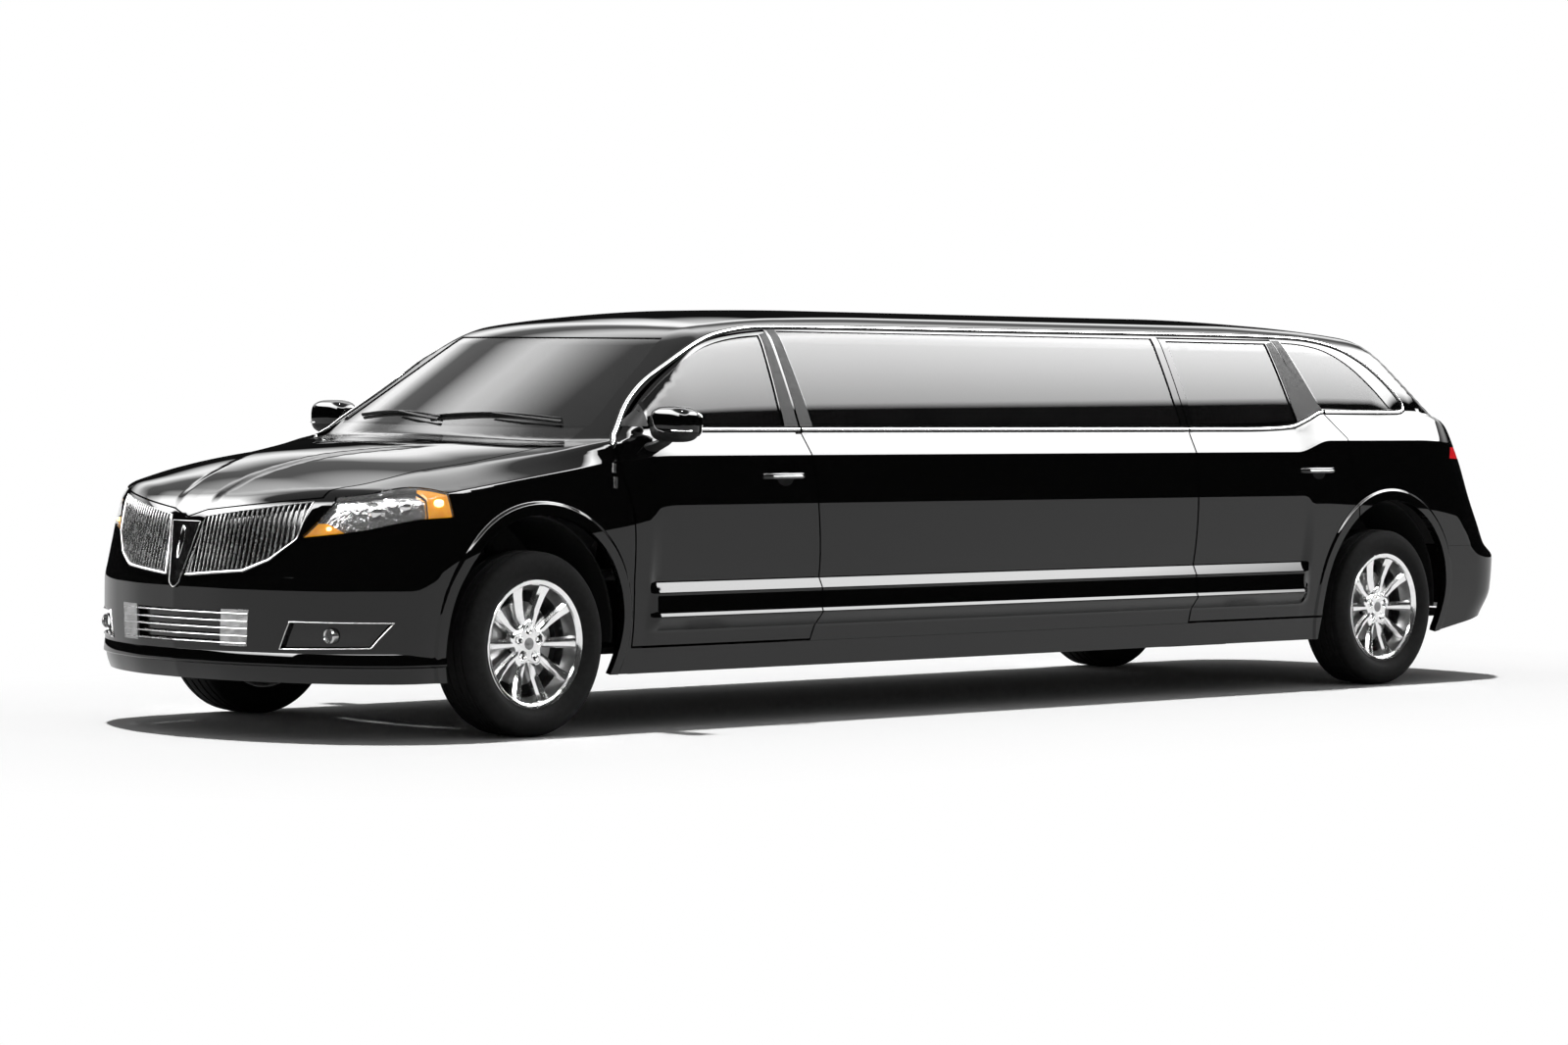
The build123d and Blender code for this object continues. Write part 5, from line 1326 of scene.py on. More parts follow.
# %% Dark covers on the pillars, and the sail at the mirror
PILLAR_COVERS = {
    "body": [
        placed(front, ((-1.531, 1.232), (-1.5315, 1.637), (-1.575, 1.637), (-1.606, 1.232))),
        placed(rear, (
            (0.607, 1.632), (0.556, 1.632), (0.430, 1.312), (0.440, 1.330), (0.500, 1.410),
            (0.572, 1.520)
        ))
    ],
    "front_door": [
        placed(front, ((-1.438, 1.232), (-1.470, 1.616), (-1.512, 1.622), (-1.5185, 1.232))),
        placed(front, ((-0.500, 1.232), (-0.610, 1.296), (-0.646, 1.322), (-0.647, 1.232)))
    ],
    "rear_door": [
        placed(rear, (
            (0.661, 1.616), (0.640, 1.622), (0.612, 1.620), (0.576, 1.520), (0.490, 1.402),
            (0.445, 1.345), (0.420, 1.312), (0.470, 1.302), (0.632, 1.246)
        ))
    ],
}
GLASS_BANDS = {
    "body": [placed(rear, ((1.4535, 1.232), (1.4535, 1.634), (1.497, 1.634), (1.497, 1.232)))],
    "rear_door": [placed(rear, ((1.4465, 1.232), (1.4465, 1.624), (1.403, 1.624), (1.403, 1.232)))],
}


def flank_cover(outlines):
    """Left-hand sheets of the skin inside outlines drawn in side view."""
    sheets = []
    for outline in outlines:
        xs = [x for x, z in outline]
        cutter = sharp_cut("side", outline)
        area = ((min(xs) - 0.01, 1.22), (max(xs) + 0.01, 1.645))
        sheets.append(sheet_of_skin(FLANK, area, [cutter], (), (0.02, 0.02)))
    return joined(*sheets)


for table, look, kind in ((PILLAR_COVERS, TRIM, "covers"), (GLASS_BANDS, FRAME_GLASS, "glass_bands")):
    for body_name, outlines in table.items():
        left = flank_cover(outlines)
        if body_name == "body":
            panel(f"pillar_{kind}", "body", (look, TRIM), paired(left), 0.003, -0.0015)
            continue
        for side, make in SIDES:
            panel(
                f"{body_name}_{side}_frame_{kind}", f"{body_name}_{side}", (look, TRIM), make(left),
                0.003, -0.0015
            )

# %% [markdown]
# ## Grilles
# The grille is in two wings, each filled with upright polished bars in front of a dark back,
# with a heavy bright lower frame. The bars follow the nose's own curve, so each is a thin
# profile swept down a line drawn on the skin. A prow closes the gap between the wings.

# %% Grille wings
wing_line = rounded(GRILLE_WING, 0)


def wing_reach(y):
    """Lowest and highest z inside a wing at each y, from where its outline crosses that y."""
    z = np.linspace(0.60, 0.96, 361)
    grid = within(np.stack([np.repeat(y, 361), np.tile(z, len(y))], 1), wing_line).reshape(len(y), 361)
    low = np.where(grid.any(1), z[np.argmax(grid, 1)], np.nan)
    high = np.where(grid.any(1), z[360 - np.argmax(grid[:, ::-1], 1)], np.nan)
    return low, high


bar_y = np.arange(0.076, 0.575, 0.0215)
bar_low, bar_high = wing_reach(bar_y)
bars = []
for y, low, high in zip(bar_y, bar_low, bar_high):
    if high - low > 0.02:
        p, n = on_end(np.stack([np.full(16, y), np.linspace(low - 0.004, high + 0.004, 16)], 1))
        bars.append(swept(p - n * 0.006, dome(0.0080, 0.005, 0.003, 7), n))
solid("grille_bars", "body", GRILLE_CHROME, twice(bars), nodes=["grille"])
frame_points, frame_normals = on_end(wing_line)
low_share = step(0.78, 0.66, frame_points[:, 2])
wing_frame = swept(frame_points, dome(0.008, 0.006, 0.008, 9), frame_normals, True, 0.5 + 1.0 * low_share)
solid("grille_frames", "body", SATIN_CHROME, twice([wing_frame]))
grille_back = sheet_of_skin(NOSE_WRAP, ((-0.75, 0.60), (0.75, 0.96)), [wings[0]], (), (0.03, 0.03))
panel("grille_back", "body", (GLOSS_BLACK, UNDER), paired(grille_back), 0.004, 0.030)

# %% [markdown]
# ## Prow
# The prow is a narrow shield that stands a little proud, with an empty oval rim where a badge
# would sit.

# %% Prow with its blank badge
skin_panel(
    "prow", "body", (GLOSS_BLACK, UNDER), NOSE_WRAP, ((-0.15, 0.57), (0.15, 0.88)), [prow_cut], (),
    (0.01, 0.012), 0.034, -0.004
)
badge = np.array(
    [
        (0.016 * math.cos(t) * (0.75 + 0.25 * math.sin(t)), 0.762 + 0.062 * math.sin(t))
        for t in round_turn(48)
    ]
)
badge_p, badge_n = on_end(badge)
prow_p, prow_n = on_end(rounded(both(PROW), 0))
solid(
    "prow_badge_rim", "body", CHROME,
    [swept(badge_p + badge_n * 0.004, dome(0.0045, 0.004, 0.003), badge_n, True)]
)
solid(
    "prow_edge", "body", GRILLE_CHROME,
    [swept(prow_p + prow_n * 0.003, dome(0.0035, 0.002, 0.003), prow_n, True)]
)

# %% [markdown]
# ## Lower grille and fog lamps
# Five polished bars cross a dark back, and a grey metal plate at each end paints the highlight
# that the bumper's foot shows there. A fog lamp is a turned ring and glass that sit in a framed
# recess of the bumper.

# %% Lower grille, the painted highlights at its ends and the fog lamps
slots = []
for z in (0.380, 0.4085, 0.4370, 0.4655, 0.4950):
    half = 0.381 if z > 0.38 else 0.374
    p, n = on_end(np.stack([np.linspace(-half, half, 61), np.full(61, z)], 1))
    slots.append(swept(p - n * 0.006, dome(0.009, 0.008, 0.010, 7), n))
solid("lower_grille_bars", "body", GRILLE_CHROME, slots, nodes=["lower_grille"])
skin_panel(
    "lower_grille_back", "body", (GLOSS_BLACK, UNDER), NOSE_WRAP, ((-0.5, 0.36), (0.5, 0.52)),
    [lower_cut], (), (0.03, 0.03), 0.004, 0.030
)
# grey metal plates at the grille's ends are a painted highlight of the bumper
highlight_cut = sharp_cut(
    "nose", ((0.255, 0.369), (0.378, 0.369), (0.387, 0.511), (0.262, 0.511)), low=front(0.6)
)
highlight_sheets = sheet_of_skin(NOSE_WRAP, ((0.2, 0.36), (0.5, 0.52)), [highlight_cut], (), (0.02, 0.015))
panel("lower_grille_plates", "body", (CAST, UNDER), paired(highlight_sheets), 0.010, -0.001)
skin_panel(
    "fog_lamp_recesses", "body", (GLOSS_BLACK, UNDER), NOSE_WRAP, ((0.4, 0.35), (1.25, 0.49)),
    [fog_cuts[0]], (), (0.02, 0.02), 0.004, 0.026, twin=True
)
fog_p, fog_n = on_end(rounded(FOG, 0), behind=front(0.3))
fog_rim = swept(fog_p, dome(0.006, 0.004, 0.006), fog_n, True)
solid("fog_lamp_frames", "body", SATIN_CHROME, twice([fog_rim]))
fog_seat = on_end(((0.690, 0.418),), behind=front(0.3))[0][0] - np.array((0.022, 0, 0))
fog_ring = turned(
    ((-0.012, 0.024), (0.010, 0.0235), (0.016, 0.027), (0.010, 0.031), (-0.012, 0.031)), fog_seat, "x",
    turns=48
)
fog_glass = turned(
    ((-0.010, POLE), (0.013, POLE), (0.0115, 0.012), (0.006, 0.0225), (-0.010, 0.0225)), fog_seat, "x",
    turns=48
)
solid("fog_lamp_rings", "body", SATIN_CHROME, twice([fog_ring]))
solid("fog_lamp_glasses", "body", LENS, twice([fog_glass]), nodes=["fog_lamps"])

# %% [markdown]
# ## Headlamps
# A headlamp is a clear outer lens over a bright housing, with a round projector, an amber
# marker in the lower inner corner and another at its rear end. Lens, housing and markers are
# sheets of the skin, sunk to different depths behind the same outline.

# %% Lens, housing, markers and projectors
lamp_edge = sharp_cut("side", grown(rounded(LAMP), -0.003))
lamp_area = ((0.45, 0.76), (1.40, 1.02))
lamp_rear = sharp_cut("side", placed(front, ((0.40, 0.70), (0.560, 0.70), (0.530, 1.1), (0.40, 1.1))))
lamp_corner = sharp_cut(
    "side", placed(front, ((1.0, 0.70), (1.0, 0.852), (0.845, 0.852), (0.800, 0.80), (0.800, 0.70)))
)
skin_panel(
    "headlamp_lenses", "body", (LENS, LENS), NOSE_WRAP, lamp_area, [lamp_edge], (), (0.02, 0.012),
    0.003, 0.001, node="headlamps", twin=True
)
skin_panel(
    "headlamp_housings", "body", (REFLECTOR, UNDER), NOSE_WRAP, lamp_area, [lamp_edge],
    [lamp_rear, lamp_corner], (0.02, 0.012), 0.004, 0.030, twin=True
)
amber_rear = sheet_of_skin(
    NOSE_WRAP, lamp_area, [(lamp_edge, lamp_rear)], (), (0.02, 0.012), seams=[lamp_edge]
)
amber_corner = sheet_of_skin(
    NOSE_WRAP, lamp_area, [(lamp_edge, lamp_corner)], (), (0.02, 0.012), seams=[lamp_edge]
)
markers = joined(amber_rear, amber_corner)
panel("amber_markers", "body", (AMBER_LENS, UNDER), paired(markers), 0.012, 0.010)
projectors, glasses = [], []
for x, z, radius in ((front(0.735), 0.895, 0.036), (front(0.640), 0.918, 0.030)):
    spot, way = on_flank(((x, z),))
    seat = spot[0] - np.array((0.034, 0.030, 0.0))
    ring = ((-0.012, radius * 0.86), (0.014, radius * 0.82), (0.024, radius),
            (0.014, radius * 1.12), (-0.012, radius * 1.12))
    bowl = ((-0.010, POLE), (0.020, POLE), (0.017, radius * 0.4), (0.008, radius * 0.8),
            (-0.010, radius * 0.82))
    projectors.append(turned(ring, seat, "x", turns=48))
    glasses.append(turned(bowl, seat, "x", turns=48))
solid("headlamp_projector_rings", "body", CHROME, twice(projectors))
solid("headlamp_projectors", "body", REFLECTOR, twice(glasses))

bulbs = []
for x, z, size in ((front(0.500), 0.935, 0.022), (front(0.845), 0.832, 0.012)):
    spot, way = on_flank(((x, z),))
    bulbs.append(closed(rounded_box(spot[0] - 0.006 * way[0], (size, size * 0.7, size * 0.7), 0.9)))
solid("marker_bulbs", "body", BULB, twice(bulbs), angle=60)

# %% [markdown]
# ## Wheel wells
# Between spokes and over tyres one looks into the wells, so a thin dark half disc closes each
# on its inner side.

# %% Inner walls of the wheel wells
WELLS = ((FRONT_AXLE, 0.500), (REAR_AXLE, 0.560))  # axle, and the wall's distance from the middle
WELL_RADIUS = ARCH_RADIUS - 0.006
turn = np.linspace(0, math.pi, 41)
wells = []
for axle, inner in WELLS:
    x, z = axle + WELL_RADIUS * np.cos(turn), ARCH_HEIGHT + WELL_RADIUS * np.sin(turn)
    rim_line = np.stack([x, 0 * turn, z], 1)
    wells.append(closed(np.stack([rim_line + (0, inner, 0), rim_line + (0, inner + 0.003, 0)])))
solid("wheel_well_walls", "body", TRIM, twice(wells))

# %% [markdown]
# ## Bumper lip
# The lip is one profile carried round the foot of the bumper, on points of the skin at one
# height.

# %% Bumper lip
lip_u = np.linspace(-1.16, 1.16, 121)
lip_start, lip_way = NOSE_WRAP["lift"](lip_u, np.full(121, 0.296))
lip_p = shoot(lip_start, lip_way, 1.6)[0]
lip_n = outward(lip_p)
lip_n[:, 2] = 0
lip_shape = (
    (-0.058, -0.004), (-0.056, 0.002), (-0.050, 0.006), (-0.012, 0.010), (-0.004, 0.010), (0.0, 0.006),
    (0.004, -0.004)
)
solid("front_bumper_lip", "body", PAINT, [swept(lip_p, lip_shape, lip_n)])

# %% [markdown]
# ## Mirrors
# A mirror head is a rounded box, a superellipsoid: a sphere whose sines and cosines are raised
# to a power below one. Each stands on a foot at the front corner of the door's glass, and
# rides with the door.

# %% Mirrors
head_centre, head_half = (2.186, 1.050, 1.243), (0.066, 0.110, 0.072)
HEAD_POWER = 0.62
head = rounded_box(head_centre, head_half, HEAD_POWER, -0.25, 0.9999)
chin = rounded_box(head_centre, head_half, HEAD_POWER, -0.9999, -0.29)
band = rounded_box(head_centre, np.array(head_half) * (0.985, 0.985, 1), HEAD_POWER, -0.33, -0.21, 5)
foot_path = eased(
    ((2.190, 0.932, 1.150), (2.192, 0.955, 1.156), (2.188, 1.000, 1.172), (2.186, 1.020, 1.196)), 0.008
)
foot = swept(foot_path, disc(0.026) * (1.5, 0.62), (0, 0, 1), scale=np.linspace(1.25, 0.9, len(foot_path)))
glass_plate = rounded_box((2.1235, 1.052, 1.243), (0.004, 0.094, 0.052), 0.5)
dashes = []
for start, stop in ((0.25, 0.55), (0.60, 0.75), (0.80, 0.92), (0.97, 1.30)):
    turn = np.linspace(start, stop, 9) * 1.15
    ahead, aside = bent(np.cos(turn), HEAD_POWER), bent(np.sin(turn), HEAD_POWER)
    path = np.stack([head_centre[0] + 0.0655 * ahead, head_centre[1] + 0.109 * aside, 0 * turn + 1.2175], 1)
    way = np.stack([np.cos(turn), np.sin(turn), 0 * turn], 1)
    dashes.append(swept(path, dome(0.007, 0.004, 0.003), way))
for side, make in SIDES:
    door = f"front_door_{side}"
    solid(f"mirror_head_{side}", door, PAINT, [make(closed(head))], nodes=[f"mirror_{side}"], angle=50)
    solid(f"mirror_chin_{side}", door, TRIM, [make(closed(chin)), make(closed(band)), make(foot)], angle=50)
    solid(f"mirror_glass_{side}", door, MIRROR_GLASS, [make(closed(glass_plate))], angle=50)
    solid(f"mirror_dashes_{side}", door, CHROME, [make(part) for part in dashes])

# %% [markdown]
# ## Door handles
# A handle is a flat oval profile carried along an arched path, with a bright strip set into
# its face. Behind it a dark sheet on the door paints the shade of the cup for the fingers.


# %% Door handles
def handle(x, z=1.028, half=0.1175):
    """A grip that stands off the door, its bright insert, and a dark sheet behind it that paints the shade
    of the finger cup.
    """
    spot, way = on_flank(((x, z), (x - half, z), (x + half, z)))
    y = spot[:, 1].min()
    along = eased(
        (
            (x - half, y - 0.004), (x - half + 0.004, y + 0.010), (x - half + 0.030, y + 0.0235),
            (x, y + 0.0265), (x + half - 0.030, y + 0.0235), (x + half - 0.004, y + 0.010),
            (x + half, y - 0.004)
        ), 0.006
    )
    path = np.stack([along[:, 0], along[:, 1], np.full(len(along), z)], 1)
    grip = swept(path, disc(0.0125, 20) * (1.0, 0.5), (0, 1, 0))
    core = (along[:, 0] > x - half + 0.030) & (along[:, 0] < x + half - 0.030)
    insert = swept(path[core] + (0, 0.0048, -0.002), dome(0.0095, 0.0028, 0.003), (0, 1, 0))
    # the finger cup isn't sunk into the door: a dark sheet on the skin is painted shade there
    turn = round_turn(40)
    line = np.stack([x - 0.01 + 0.048 * np.cos(turn), z - 0.012 + 0.030 * np.sin(turn)], 1)
    cup_shade = sheet_of_skin(
        FLANK, ((x - 0.08, z - 0.06), (x + 0.06, z + 0.03)), [sharp_cut("side", line)], (),
        (0.01, 0.008)
    )
    return grip, insert, cup_shade


for end, x in (("front", front(-1.370)), ("rear", rear(0.568))):
    grip, insert, cup_shade = handle(x)
    for side, make in SIDES:
        door = f"{end}_door_{side}"
        solid(f"handle_{end}_{side}", door, GLOSS_BLACK, [make(grip)], angle=50)
        solid(f"handle_insert_{end}_{side}", door, SATIN_CHROME, [make(insert)])
        panel(f"handle_shade_sheet_{end}_{side}", door, (UNDER, UNDER), make(cup_shade), 0.002, -0.0006, slot="black_trim")

# %% [markdown]
# ## Fender badges and wipers
# The badges are bare bars. A wiper is a blade that follows the glass in a shallow arch, and
# an arm that stands over it.

# %% Fender badges and wipers
badge_parts = []
for z0, z1 in ((1.046, 1.084), (0.985, 1.030)):
    bar = np.stack([np.linspace(front(-0.405), front(-0.412), 9), np.linspace(z0, z1, 9)], 1)
    badge_parts.append(trim(bar, 0.020, 0.004))
solid("fender_badges", "body", GRILLE_CHROME, twice(badge_parts))
wiper_parts = []
for y0, y1 in ((0.62, -0.05), (0.02, -0.60)):
    blade_y = np.linspace(y0, y1, 31)
    blade_z = BELT + 0.034 + 0.018 * np.sin(np.linspace(0, math.pi, 31))
    p, n = on_end(np.stack([blade_y, blade_z], 1), behind=front(-1.25), field=greenhouse)
    wiper_parts.append(swept(p + n * 0.004, dome(0.008, 0.008, 0.006, 7), n))
    arm_y = np.linspace(y0 + 0.02, (y0 + y1) / 2, 15)
    arm_z = BELT + 0.018 + np.linspace(0, 0.030, 15)
    p, n = on_end(np.stack([arm_y, arm_z], 1), behind=front(-1.25), field=greenhouse)
    wiper_parts.append(
        swept(p + n * 0.014, dome(0.012, 0.004, 0.004, 7), n, scale=np.linspace(1.3, 0.7, len(p)))
    )
solid("wipers", "body", TRIM, wiper_parts)

# %% [markdown]
# ## Wheels
# A cast alloy wheel is a barrel, a hub and ten spokes, two for each of five lugs. The barrel
# is a turned profile. Each spoke is a profile with a flat crest, swept from the hub to the
# rim and growing wider on the way. Behind them are a brake disc and its shield.


# %% Barrel, hub, spokes and nuts
LIP = (
    (0.1000, 0.2550), (0.0960, 0.2590), (0.0900, 0.2560), (0.0885, 0.2440), (0.0860, 0.2345),
    (0.0930, 0.2385), (0.0980, 0.2470)
)
BARREL = (
    (0.0884, 0.2440), (0.0600, 0.2410), (0.0350, 0.2230), (-0.0350, 0.2230), (-0.0600, 0.2410),
    (-0.0900, 0.2410), (-0.0940, 0.2580), (-0.1000, 0.2580), (-0.1000, 0.2500), (-0.0940, 0.2350),
    (-0.0640, 0.2330), (-0.0380, 0.2150), (0.0330, 0.2150), (0.0580, 0.2310), (0.0859, 0.2345)
)
LUGS = 5
LUG_CIRCLE = 0.05715


def hub_rings():
    """The hub's face: five lobes round a flat middle, with a smooth pit round each lug."""
    turn = round_turn(180)
    edge = 0.086 + 0.014 * np.cos(LUGS * (turn - math.pi / 2))
    share = np.linspace(0.02, 1, 44)[:, None]
    radius = share * edge
    lug = math.pi / 2 + np.round((turn - math.pi / 2) / (2 * math.pi / LUGS)) * 2 * math.pi / LUGS
    reach = np.hypot(
        radius * np.cos(turn) - LUG_CIRCLE * np.cos(lug),
        radius * np.sin(turn) - LUG_CIRCLE * np.sin(lug)
    )
    face = 0.0620 - 0.020 * step(0.0200, 0.0175, reach) - 0.006 * step(0.85, 1.0, share)
    rings = np.stack([radius * np.cos(turn), face, radius * np.sin(turn)], -1)
    outer = rings[-1].copy()
    under = outer * (0.97, 0, 0.97) + (0, 0.024, 0)
    return np.concatenate([rings, under[None], (under * (0.05, 1, 0.05))[None]])


def spoke(angle):
    """A spoke from the hub to the rim: a crest with chamfered sides, 30 mm wide growing to 55."""
    reach = np.linspace(0.045, 0.2375, 15)
    rise = np.interp(reach, (0.045, 0.085, 0.14, 0.20, 0.2375), (0.050, 0.0570, 0.0585, 0.0700, 0.0840))
    width = np.interp(reach, (0.045, 0.10, 0.19, 0.2375), (0.0150, 0.0180, 0.0225, 0.0275))
    path = np.stack([reach * math.cos(angle), rise, reach * math.sin(angle)], 1)
    across = np.array((-math.sin(angle), 0, math.cos(angle)))
    shape = np.array((
        (-1.0, -0.036), (-1.0, -0.012), (-0.62, -0.001), (-0.45, 0.0), (0.45, 0.0), (0.62, -0.001),
        (1.0, -0.012), (1.0, -0.036)
    ))
    wide = width[:, None, None] * shape[None, :, :1] * across
    rings = path[:, None] + wide + shape[None, :, 1:] * (0, 1, 0)
    return closed(rings)


def wheel_parts():
    """A left wheel's face round its own middle: alloy, bright nuts, dark discs that paint shade in the lug
    pits, and the blank cap.
    """
    alloy = [turned(LIP, (0, 0, 0)), closed(hub_rings())]
    alloy += [spoke(math.pi / 2 + math.radians(18 + 36 * k)) for k in range(2 * LUGS)]
    nuts, pit_shades = [], []
    for k in range(LUGS):
        turn = math.pi / 2 + k * 2 * math.pi / LUGS
        spot = (LUG_CIRCLE * math.cos(turn), 0, LUG_CIRCLE * math.sin(turn))
        nuts.append(
            turned(
                ((0.041, POLE), (0.053, POLE), (0.053, 0.0060), (0.051, 0.0078), (0.041, 0.0084)), spot,
                turns=6
            )
        )
        # a dark disc at the bottom of each lug pit, round the nut, is painted shade
        pit_shades.append(turned(oblong(0.0400, 0.0450, POLE, 0.0178), spot, turns=24))
    cap = turned(
        ((0.056, POLE), (0.0665, POLE), (0.0655, 0.016), (0.0630, 0.024), (0.056, 0.026)), (0, 0, 0),
        turns=48
    )
    return alloy, nuts, pit_shades, [cap]


# %% [markdown]
# ## Tyres
# The tyre's profile starts at the bead, goes out over the sidewall with two raised rings, and
# crosses the tread, where four grooves are cut by lowering the radius.


# %% Tyre profile
def tyre_profile():
    """Bead, sidewall, shoulder and tread as (across, radius), with grooves 7 mm deep."""
    side_wall = eased(
        (
            (0.0890, 0.2400), (0.0950, 0.2420), (0.0985, 0.2600), (0.1090, 0.2780), (0.1160, 0.2950),
            (0.1175, 0.3100), (0.1160, 0.3280), (0.1110, 0.3440), (0.1060, 0.3540), (0.0990, 0.3625),
            (0.0900, 0.3665)
        ), 0.0045, 3
    )
    outer_ring = 0.0012 * np.exp(-((side_wall[:, 1] - 0.3320) / 0.0020) ** 2)
    inner_ring = 0.0010 * np.exp(-((side_wall[:, 1] - 0.2830) / 0.0018) ** 2)
    side_wall[:, 0] += outer_ring + inner_ring
    across = np.linspace(0.088, -0.088, 141)
    nearest = np.abs(across[:, None] - np.array((-0.066, -0.023, 0.023, 0.066))).min(1)
    tread = 0.3700 - 0.0035 * (across / 0.09) ** 2 - 0.0075 * step(0.0055, 0.0035, nearest)
    other = side_wall[::-1] * (-1, 1)
    inner = eased(
        (
            (-0.0890, 0.2470), (-0.1000, 0.2900), (-0.0950, 0.3400), (0.0, 0.3520), (0.0950, 0.3400),
            (0.1000, 0.2900), (0.0890, 0.2470)
        ), 0.02, 3
    )
    return np.vstack([side_wall, np.stack([across, tread], 1), other, inner])


alloy, nuts, pit_shades, cap = wheel_parts()
barrel = turned(BARREL, (0, 0, 0))
brake_disc = turned(oblong(-0.006, 0.004, 0.070, 0.168), (0, 0, 0))
dust_shield = turned(
    ((-0.0130, 0.060), (-0.0105, 0.060), (-0.0105, 0.204), (-0.0085, 0.208), (-0.0130, 0.208)),
    (0, 0, 0)
)
tyre = turned(tyre_profile(), (0, 0, 0), turns=120)
# name, finish, parts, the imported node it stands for, and the angle of its sharp edges
WHEEL_PIECES = (
    ("alloy", WHEEL, alloy, "rim", 28), ("lug_nuts", CHROME, nuts, None, 32),
    # the dark discs in the lug pits are painted shade
    ("hub_cap", CAST, cap, None, 32), ("lug_pits", UNDER, pit_shades, None, 32),
    ("brake_disc", STEEL, [brake_disc], None, 40), ("dust_shield", UNDER, [dust_shield], None, 40),
    # the barrel's dark finish is painted shade between the spokes
    ("rim_barrel", SHADED_RIM, [barrel], None, 28), ("tread", RUBBER, [tyre], "tyre", 24),
)


def put(part, x, make):
    """A part of the left wheel moved to the axle at x, and to its side."""
    return make({**part, "p": part["p"] + (x, WHEEL_Y, WHEEL_RADIUS)})


for end, x in (("front", FRONT_AXLE), ("rear", REAR_AXLE)):
    for side, make in SIDES:
        for name, look, parts, node, angle in WHEEL_PIECES:
            nodes = [f"{node}_{end}_{side}"] if node else ()
            moved = [put(part, x, make) for part in parts]
            solid(f"{name}_{end}_{side}", f"wheel_{end}_{side}", look, moved, nodes=nodes, angle=angle)

# %% [markdown]
# ## Hinges
# Door skins and fenders replace the whole packed doors, so their hinges are made again: a
# knuckle and its pin ride on the door, and an arm bent like a goose's neck rides on the body
# and comes round from inside.

# %% Door and hood hinges
PIN_Y = HINGE_Y - 0.005
for end, reach in (("front", front(-0.494) + 0.025), ("rear", rear(1.456) + 0.025)):
    axis_x = HINGE_AXIS[end]
    pins, arms = [], []
    for z in HINGES:
        spot = (axis_x, PIN_Y, z)
        pins.append(turned(oblong(-0.034, 0.034, POLE, 0.0045), spot, "z", turns=24))
        for level in (-0.024, 0.024):
            pins.append(turned(oblong(level - 0.009, level + 0.009, POLE, 0.006), spot, "z", turns=24))
        pins.append(closed(rounded_box((axis_x - 0.016, PIN_Y - 0.012, z), (0.014, 0.010, 0.030), 0.3)))
        arm = eased(
            (
                (axis_x, PIN_Y), (axis_x + 0.001, PIN_Y - 0.030), (axis_x + 0.004, 0.878),
                (axis_x + 0.030, 0.873), (reach, 0.873)
            ), 0.008, 2
        )
        path = np.stack([arm[:, 0], arm[:, 1], np.full(len(arm), z)], 1)
        arms.append(swept(path, oblong(-0.012, 0.012, -0.004, 0.004),
                          np.stack([np.gradient(path[:, 1]), -np.gradient(path[:, 0]), 0 * path[:, 0]], 1)))
        arms.append(turned(oblong(-0.0135, 0.0135, 0.0048, 0.0068), spot, "z", turns=24))
    solid(f"hinge_arms_{end}", "body", STEEL, twice(arms))
    for side, make in SIDES:
        solid(f"hinge_pins_{end}_{side}", f"{end}_door_{side}", STEEL, [make(part) for part in pins])
hood_axis = (front(-0.260), 0.715, 1.142)
hood_arm = eased(
    [
        (hood_axis[0] + x, hood_axis[2] + z)
        for x, z in ((0.004, -0.036), (0.030, -0.080), (0.095, -0.084), (0.150, -0.032))
    ], 0.01, 2
)
hood_path = np.stack([hood_arm[:, 0], np.full(len(hood_arm), 0.640), hood_arm[:, 1]], 1)
hood_bar = swept(hood_path, oblong(-0.010, 0.010, -0.003, 0.003), (0, 0, 1))
solid("hood_hinge_arms", "hood", STEEL, twice([hood_bar]))

# %% [markdown]
# ## Plate and strip on the tailgate
# The plate is blank metal in a dark frame, and a bright strip runs over the light bar. Both
# follow the tailgate's curve and ride with it.

# %% Blank plate, its frame and the tailgate's bright strip
skin_panel(
    "blank_plate", "tailgate", (CAST, CAST), TAIL_END, ((-0.17, 0.76), (0.17, 0.96)),
    [sharp_cut("tail", both(((0.160, 0.775), (0.160, 0.945))), **gate_span)], (), (0.02, 0.02), 0.002,
    -0.003
)
plate_p, plate_n = on_end(rounded(both(((0.163, 0.772), (0.163, 0.948))), 0), -1)
solid("plate_frame", "tailgate", TRIM, [swept(plate_p + plate_n * 0.001, dome(0.012, 0.006), plate_n, True)])
strip_p, strip_n = on_end(np.stack([np.linspace(-0.60, 0.60, 61), np.full(61, 1.145)], 1), -1)
solid("tailgate_strip", "tailgate", CHROME, [swept(strip_p, dome(0.016, 0.005), strip_n)])

# %% [markdown]
# ## Seats
# The cabin is upholstered: two front seats, a sofa along the right side and a bench at the
# back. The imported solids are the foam's hard shapes. A padded look needs crowned cushions
# with sewn channels, so each cushion here is a pillow: a thickness over a square that falls
# to nothing at the seam all round, with the channels pressed into its top. The back ones
# lean.


